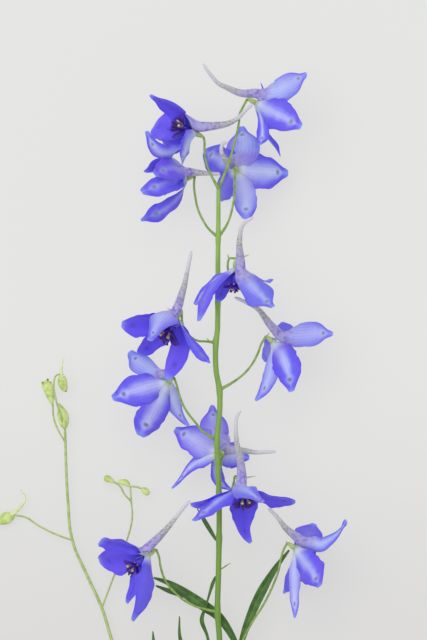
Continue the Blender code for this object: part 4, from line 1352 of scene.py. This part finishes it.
def stamens(name, bloom, seed):
    facing, rise, across = bloom.facing, bloom.rise, bloom.across
    root = bloom.hub + facing * EYE_ROOT
    made = []
    for number in range(STAMEN_COUNT):
        turn = GOLDEN_TURN * number + seed
        spread = radians(STAMEN_SPREAD * (1 + number % 3))
        length = (STAMEN_LENGTH - STAMEN_SHORTER * (number % 4)) * bloom.eye
        outward = rise * cos(turn) + across * sin(turn)
        start = root + outward * STAMEN_RING
        tip = start + (facing * cos(spread) + outward * sin(spread)) * length - rise * STAMEN_DROOP
        middle = start.lerp(tip, 0.5) + outward * STAMEN_BOW
        lean = (tip - middle).normalized()
        anther = (tip - lean * ANTHER_BEHIND, tip, tip + lean * ANTHER_AHEAD)
        made.append(tube(name, (start, middle, tip), FILAMENT_RADII, FILAMENT, 6, 3))
        made.append(drawn_out(name, anther, ANTHER_RADII, ANTHER, 8, 6))
    for side in (-1.0, 1.0):
        start = root + across * side * LIP_APART + rise * LIP_ROOT_RISE
        tip = start + (facing * LIP_LENGTH + across * side + rise * LIP_RISE) * bloom.eye
        lip = (start, start.lerp(tip, LIP_MIDDLE), tip)
        made.append(drawn_out(name, lip, LIP_RADII, LIP, 12, 10, LIP_RIDGES, side))
    return joined(name, made)


# %% [markdown]
# ## Build the flowers
# Each flower is four pieces: the spurred sepal, the four plain sepals with the small base that they grow
# from, the eye's petals and the stamens.

# %% Build the flowers
BASE_PLACES = (-0.1, 0.8, 2.4)
BASE_RADII = (0.8, 1.2, 0.8)

for label, bloom in FLOWERS.items():
    seed = int(label) * 3.7
    name = "flower_" + label
    upper = spurred_sepal(name + "_spurred_sepal", bloom, seed)
    made = []
    for number, spec in enumerate(bloom.sepals[1:]):
        made.append(plain_sepal(name + "_sepal", bloom, spec, seed + number * 1.3))
    core = [bloom.seat + bloom.facing * forward for forward in BASE_PLACES]
    base = drawn_out(name + "_base", core, BASE_RADII, SEPAL_OUTER)
    base.data.uv_layers[0].data.foreach_set("uv", [0.5, 0.0] * len(base.data.loops))
    carry(base, pale=0.8, blush=0.1)
    sepals = joined(name + "_sepals", made + [base])
    settle(upper, "sepal_blue", "bloom_" + label + "_sepals")
    settle(sepals, "sepal_blue", "bloom_" + label + "_sepals")
    settle(eye_petals(name + "_eye_petals", bloom, seed), "eye_indigo", "bloom_" + label + "_eye")
    settle(stamens(name + "_stamens", bloom, seed), "eye_indigo", "bloom_" + label + "_eye")
for blank in (*sepal_blanks.values(), eye_blank):
    bpy.data.objects.remove(blank)
print("flowers:", len(FLOWERS))

# %% [markdown]
# ## Stem and stalks
# One green stem carries everything. It is a little thicker at each node, where a flower's thin stalk
# leaves it. A curve with a round bevel gives a stem by its line and its radii alone, and each stalk ends
# in the small green receptacle that the flower sits on. Small bracts grow where the stalks leave.

# %% Stem places
STEM_AXIS = (
    (0.0, -125.0, 1.35), (0.0, -100.0, 3.4), (0.4, -60.0, 6.6), (0.6, -24.0, 9.8), (0.6, 0.0, 12.2),
    (-0.2, 11.0, 13.3), (0.2, 27.0, 14.9), (0.5, 50.0, 17.0), (0.1, 68.0, 18.8), (-0.4, 80.0, 20.0),
    (0.7, 92.0, 21.1), (0.6, 100.0, 21.9), (-0.8, 108.0, 22.6), (-0.9, 119.0, 23.6), (-0.2, 124.0, 24.1),
    (0.0, 156.0, 27.1), (0.1, 161.0, 27.6), (0.2, 180.5, 29.4),
)
# Each bract: its root, its tip and its width
BRACTS = (
    ((-0.6, 39.6, 15.6), (-8.4, 52.4, 4.0), 2.0),
    ((0.9, 28.0, 15.0), (5.2, 30.8, 17.0), 0.6),
    ((8.9, 211.4, 26.5), (12.0, 216.6, 24.0), 0.7),
    ((4.2, 152.4, 33.6), (3.9, 154.4, 33.6), 0.5),
    ((7.0, 152.0, 34.4), (12.8, 154.2, 35.5), 0.5),
    ((17.4, 118.6, 25.7), (20.6, 123.0, 24.0), 0.7),
    ((-3.4, 119.4, 24.8), (-4.6, 120.9, 25.6), 0.5),
    ((-15.6, 130.6, 31.6), (-20.4, 132.8, 33.0), 0.5),
    ((6.1, 64.4, 20.0), (15.4, 65.5, 22.0), 0.5),
    ((25.6, 33.6, 21.8), (27.6, 39.6, 20.0), 0.7),
)

# %% Build the stem
STEM_RADII = ((-125.0, 1.4), (-60.0, 1.25), (0.0, 1.15), (60.0, 1.1), (130.0, 1.06), (158.0, 0.95),
              (180.5, 0.78))
STEM_STEPS = 120
NODE_REACH = 3.0
NODE_SWELL = 0.25
STALK_ROOT_RADIUS = 0.7
STALK_RADIUS = 0.45
NECK_PLACE = -3.4
NECK_RADIUS = 0.5
RECEPTACLE = ((-3.6, 0.48), (-2.4, 0.75), (-1.2, 1.0), (-0.3, 1.05), (0.5, 0.75))
RECEPTACLE_RIDGES = 0.08
STEM_NODES = (160.8, 136.0, 118.8, 100.0, 80.0, 57.2, 40.0, 11.2, -24.0, -48.0)
BRACT_OUTLINE = ((0.0, 0.5), (0.2, 0.8), (0.5, 1.0), (0.8, 0.6), (1.0, 0.15))
BRACT_ALONG = 8
BRACT_BOW = 0.5
BRACT_CURL = 0.5
BRACT_WALL = 0.25
LEAFY_BRACT = 1.0


def stem_radius(height):
    """The stem's radius at a place along it, with a soft swelling at each node."""
    swell = max(eased(1.0 - abs(height - node) / NODE_REACH) for node in STEM_NODES)
    return read_off(STEM_RADII, height)[0] * (1.0 + NODE_SWELL * swell)


def stalk(bloom):
    points = (*bloom.pedicel, bloom.seat + bloom.facing * NECK_PLACE)
    radii = [STALK_ROOT_RADIUS] + [STALK_RADIUS] * (len(bloom.pedicel) - 1) + [NECK_RADIUS]
    return tube("stalk", points, radii, STALK)


def receptacle(bloom):
    """The small swollen green end of a stalk, which the flower sits on."""
    points = [bloom.seat + bloom.facing * forward for forward, radius in RECEPTACLE]
    radii = [radius for forward, radius in RECEPTACLE]
    return drawn_out("receptacle", points, radii, YOUNG_STEM, 15, 10, RECEPTACLE_RIDGES)


def bract(root, tip, width):
    root, tip = Vector(root), Vector(tip)
    along = (tip - root).normalized()
    across = along.cross(SKY).normalized()
    lift = across.cross(along)
    rows = []
    for share in shares(BRACT_ALONG):
        point = root.lerp(tip, share) + lift * BRACT_BOW * sin(pi * share)
        rows.append(Row(point, across, lift, width / 2.0 * read_off(BRACT_OUTLINE, share)[0], BRACT_CURL))
    piece = lay(strip("bract", 4, BRACT_ALONG), rows)
    return thicken(paint(piece, LEAF if width > LEAFY_BRACT else STEM), BRACT_WALL)


table = with_marks([Vector(point) for point in STEM_AXIS])
axis = [read_off(table, share) for share in shares(STEM_STEPS)]
pieces = [tube("stem", axis, [stem_radius(point.y) for point in axis], STEM, 16, 1)]
pieces += [stalk(bloom) for bloom in FLOWERS.values()]
pieces += [receptacle(bloom) for bloom in FLOWERS.values()]
pieces += [bract(*spec) for spec in BRACTS]
stem = joined("stem_and_stalks", pieces)
settle(stem, "stem_green", "main_stem")
print("stem:", len(stem.data.polygons), "faces")

# %% [markdown]
# ## The side shoot
# A thin pale shoot grows beside the spike, with round unopened buds. Two buds already show their own
# small spur.

# %% Side shoot places
SHOOT_AXIS = (
    (-2.5, -97.0, 3.6), (-5.2, -90.0, 3.8), (-16.0, -72.0, 3.8), (-26.4, -48.0, 3.6),
    (-35.2, -24.0, 3.4), (-42.8, 0.0, 3.2), (-46.6, 12.4, 3.2), (-52.8, 26.0, 3.2),
    (-58.5, 39.6, 3.2), (-60.2, 55.0, 3.4), (-60.9, 68.0, 3.8), (-61.2, 77.2, 4.2),
    (-61.4, 84.0, 4.4),
)
SHOOT_BRANCHES = (
    ((-46.6, 12.4, 3.2), (-43.6, 20.4, 3.6), (-41.3, 26.4, 4.0), (-36.8, 38.8, 4.4),
     (-34.4, 48.8, 4.6), (-34.8, 55.0, 4.6), (-35.2, 61.2, 4.6)),
    ((-58.5, 39.6, 3.2), (-64.2, 41.6, 3.2), (-72.0, 45.4, 3.0), (-77.2, 48.8, 2.8),
     (-81.6, 49.6, 2.6)),
    ((-61.5, 79.3, 4.3), (-63.6, 82.8, 4.4), (-65.8, 88.2, 4.4), (-66.4, 94.6, 4.4)),
    ((-61.4, 84.0, 4.4), (-63.2, 90.0, 7.2), (-65.2, 97.0, 8.6), (-65.8, 103.0, 8.6),
     (-64.6, 106.0, 8.0), (-62.6, 105.8, 7.2)),
    ((-35.0, 55.4, 4.6), (-37.4, 57.9, 4.7), (-39.6, 61.6, 4.8), (-42.0, 63.1, 4.8)),
    ((-35.0, 61.2, 4.6), (-32.6, 61.0, 4.6), (-30.6, 60.3, 4.4)),
)
# Each bud: its points from the stalk to its tip, and the radius at each
BUDS = (
    (((-81.2, 49.6, 2.6), (-82.6, 49.3, 2.6), (-85.0, 48.4, 2.5), (-90.0, 46.4, 2.5)),
     (0.5, 1.5, 2.5, 0.7)),
    (((-66.4, 94.0, 4.4), (-67.0, 97.0, 4.4), (-68.0, 100.4, 4.4), (-69.2, 103.6, 4.4)),
     (0.5, 1.5, 2.1, 1.9)),
    (((-63.0, 106.2, 7.2), (-62.7, 105.0, 7.0), (-62.2, 102.4, 6.6), (-61.2, 99.2, 6.2)),
     (0.5, 1.5, 1.9, 0.9)),
    (((-61.4, 83.8, 4.4), (-61.6, 86.4, 4.4), (-62.3, 89.8, 4.2), (-63.8, 94.6, 4.0)),
     (0.5, 1.8, 2.2, 0.5)),
    (((-35.2, 61.0, 4.6), (-36.2, 62.2, 4.6), (-37.8, 62.9, 4.6), (-40.4, 63.3, 4.6)),
     (0.5, 1.1, 1.3, 0.5)),
    (((-41.4, 62.8, 4.8), (-42.8, 63.5, 4.8), (-44.2, 64.2, 4.8), (-45.8, 64.8, 4.8)),
     (0.5, 1.0, 1.4, 1.2)),
    (((-30.8, 60.5, 4.4), (-30.0, 60.0, 4.4), (-29.0, 59.2, 4.4), (-27.6, 58.0, 4.4)),
     (0.5, 1.1, 1.4, 0.9)),
)
BUD_SPURS = (
    ((-83.4, 49.6, 3.2), (-79.4, 52.8, 3.2), (-77.5, 56.6, 3.0), (-79.4, 59.8, 3.0)),
    ((-62.4, 104.8, 7.6), (-62.9, 107.6, 7.6), (-62.6, 110.2, 7.5), (-61.8, 112.6, 7.4)),
)
KNOBS = (
    ((-69.9, 102.0, 4.9), (-70.6, 103.2, 5.1)),
    ((-68.5, 103.0, 5.0), (-68.3, 104.5, 5.2)),
    ((-67.5, 102.0, 5.0), (-67.1, 103.3, 5.2)),
    ((-61.4, 100.2, 6.6), (-60.8, 99.2, 6.6)),
)

# %% Build the side shoot
SHOOT_RADIUS = 0.75
SHOOT_TIP_RADIUS = 0.5
BRANCH_RADIUS = 0.36
BUD_SPUR_RADII = (0.95, 0.6, 0.42, 0.25)
KNOB_RADII = (0.35, 0.5)

last = len(SHOOT_AXIS) - 1
radii = [SHOOT_RADIUS + (SHOOT_TIP_RADIUS - SHOOT_RADIUS) * step / last for step in range(last + 1)]
pieces = [tube("shoot", SHOOT_AXIS, radii, YOUNG_STEM, 12)]
pieces += [tube("branch", points, [BRANCH_RADIUS] * len(points), YOUNG_STEM) for points in SHOOT_BRANCHES]
for number, (points, radii) in enumerate(BUDS):
    pieces.append(drawn_out("bud", points, radii, BUD, 20, 16, 0.05, number))
pieces += [tube("bud_spur", points, BUD_SPUR_RADII, BUD_HORN) for points in BUD_SPURS]
pieces += [drawn_out("bud_knob", points, KNOB_RADII, BUD_KNOB, 10, 8) for points in KNOBS]
shoot = joined("side_shoot_and_buds", pieces)
settle(shoot, "bud_green", "side_shoot")
print("side shoot:", len(shoot.data.polygons), "faces")

# %% [markdown]
# ## The leaves
# The two lowest leaves are cut into narrow lobes. Each lobe is a thin strip folded a little along its
# midrib, as wide at each place as its own table says.

# %% Leaf places
LEAVES = {
    "leaf_right": {
        "petiole": ((2.4, -24.0, 8.1), (5.0, -14.0, 7.4), (8.8, -5.0, 7.6)),
        "lobes": (
            (((8.0, -6.5, 7.5), (11.0, 4.0, 8.4), (16.4, 17.0, 9.0), (22.8, 28.2, 10.0),
              (28.6, 35.8, 11.0)), (1.6, 3.2, 4.3, 2.6, 0.8)),
            (((9.0, -6.5, 7.5), (6.0, 0.6, 8.6), (0.6, 8.8, 9.4), (-5.0, 13.0, 9.4),
              (-11.6, 17.4, 8.8), (-19.0, 22.2, 7.6), (-25.9, 24.6, 5.6)),
             (1.6, 2.8, 4.0, 4.6, 4.4, 2.6, 0.8)),
            (((-12.0, 17.0, 8.8), (-18.6, 19.0, 7.4), (-25.0, 21.4, 5.6)), (2.0, 2.2, 0.7)),
        ),
    },
    "leaf_left": {
        "petiole": ((-1.3, -48.0, 5.9), (-3.8, -34.0, 5.6), (-6.0, -20.0, 6.2)),
        "lobes": (
            (((-6.0, -21.5, 6.2), (-3.4, -8.0, 8.0), (-4.2, 1.0, 10.0), (-6.6, 7.8, 11.4),
              (-5.0, 12.8, 11.8), (-3.5, 18.0, 12.0), (-2.1, 22.4, 12.2), (-0.9, 25.4, 12.4)),
             (1.4, 1.6, 1.2, 1.9, 0.9, 1.0, 1.6, 0.6)),
            (((-5.6, -21.5, 6.2), (-12.0, -9.0, 6.3), (-15.2, 0.4, 6.8), (-15.5, 9.2, 7.4)),
             (1.6, 3.0, 1.5, 0.4)),
            (((-5.6, -21.5, 6.2), (-16.6, -11.6, 5.6), (-25.0, -3.6, 5.6), (-26.2, 3.2, 5.6)),
             (1.6, 3.4, 2.0, 0.4)),
            (((-5.4, -21.0, 6.2), (-14.0, -18.0, 5.0), (-23.0, -15.0, 4.4)), (1.6, 3.0, 0.7)),
            (((-6.2, -21.5, 6.2), (2.4, -12.0, 5.0), (5.4, -2.6, 4.6)), (1.6, 2.8, 0.7)),
        ),
    },
}

# %% Build the leaves
PETIOLE_RADII = (0.8, 0.7, 0.9)
LOBE_ACROSS = 8
LOBE_ALONG = 30
LOBE_CURL = 0.32
LOBE_RIPPLE = 0.35
LOBE_FOLD = 0.25
LOBE_WALL = 0.35
NARROWEST = 0.2


def lobe(points, widths, seed):
    """A narrow leaf lobe that lies level, with its edges lifted a little."""
    knots = with_marks([Vector(point) for point in points])
    halves = [(knot[0], width / 2.0) for knot, width in zip(knots, widths)]
    path = [read_off(knots, share) for share in shares(LOBE_ALONG)]
    rows = []
    for share, point, ahead in zip(shares(LOBE_ALONG), path, ways(path)):
        across = ahead.cross(SKY).normalized()
        half = max(read_off(halves, share)[0], NARROWEST)
        rows.append(Row(point, across, across.cross(ahead), half, LOBE_CURL / half))
    piece = lay(strip("lobe", LOBE_ACROSS, LOBE_ALONG), rows, LOBE_RIPPLE, LOBE_FOLD, seed)
    return thicken(paint(piece, LEAF), LOBE_WALL)


for name, spec in LEAVES.items():
    pieces = [tube("petiole", spec["petiole"], PETIOLE_RADII, STEM, 10, 6)]
    for number, (points, widths) in enumerate(spec["lobes"]):
        pieces.append(lobe(points, widths, number * 2.3))
    leaf = joined(name + "_blades", pieces)
    settle(leaf, "leaf_green", name)
    print(name, len(leaf.data.polygons), "faces")
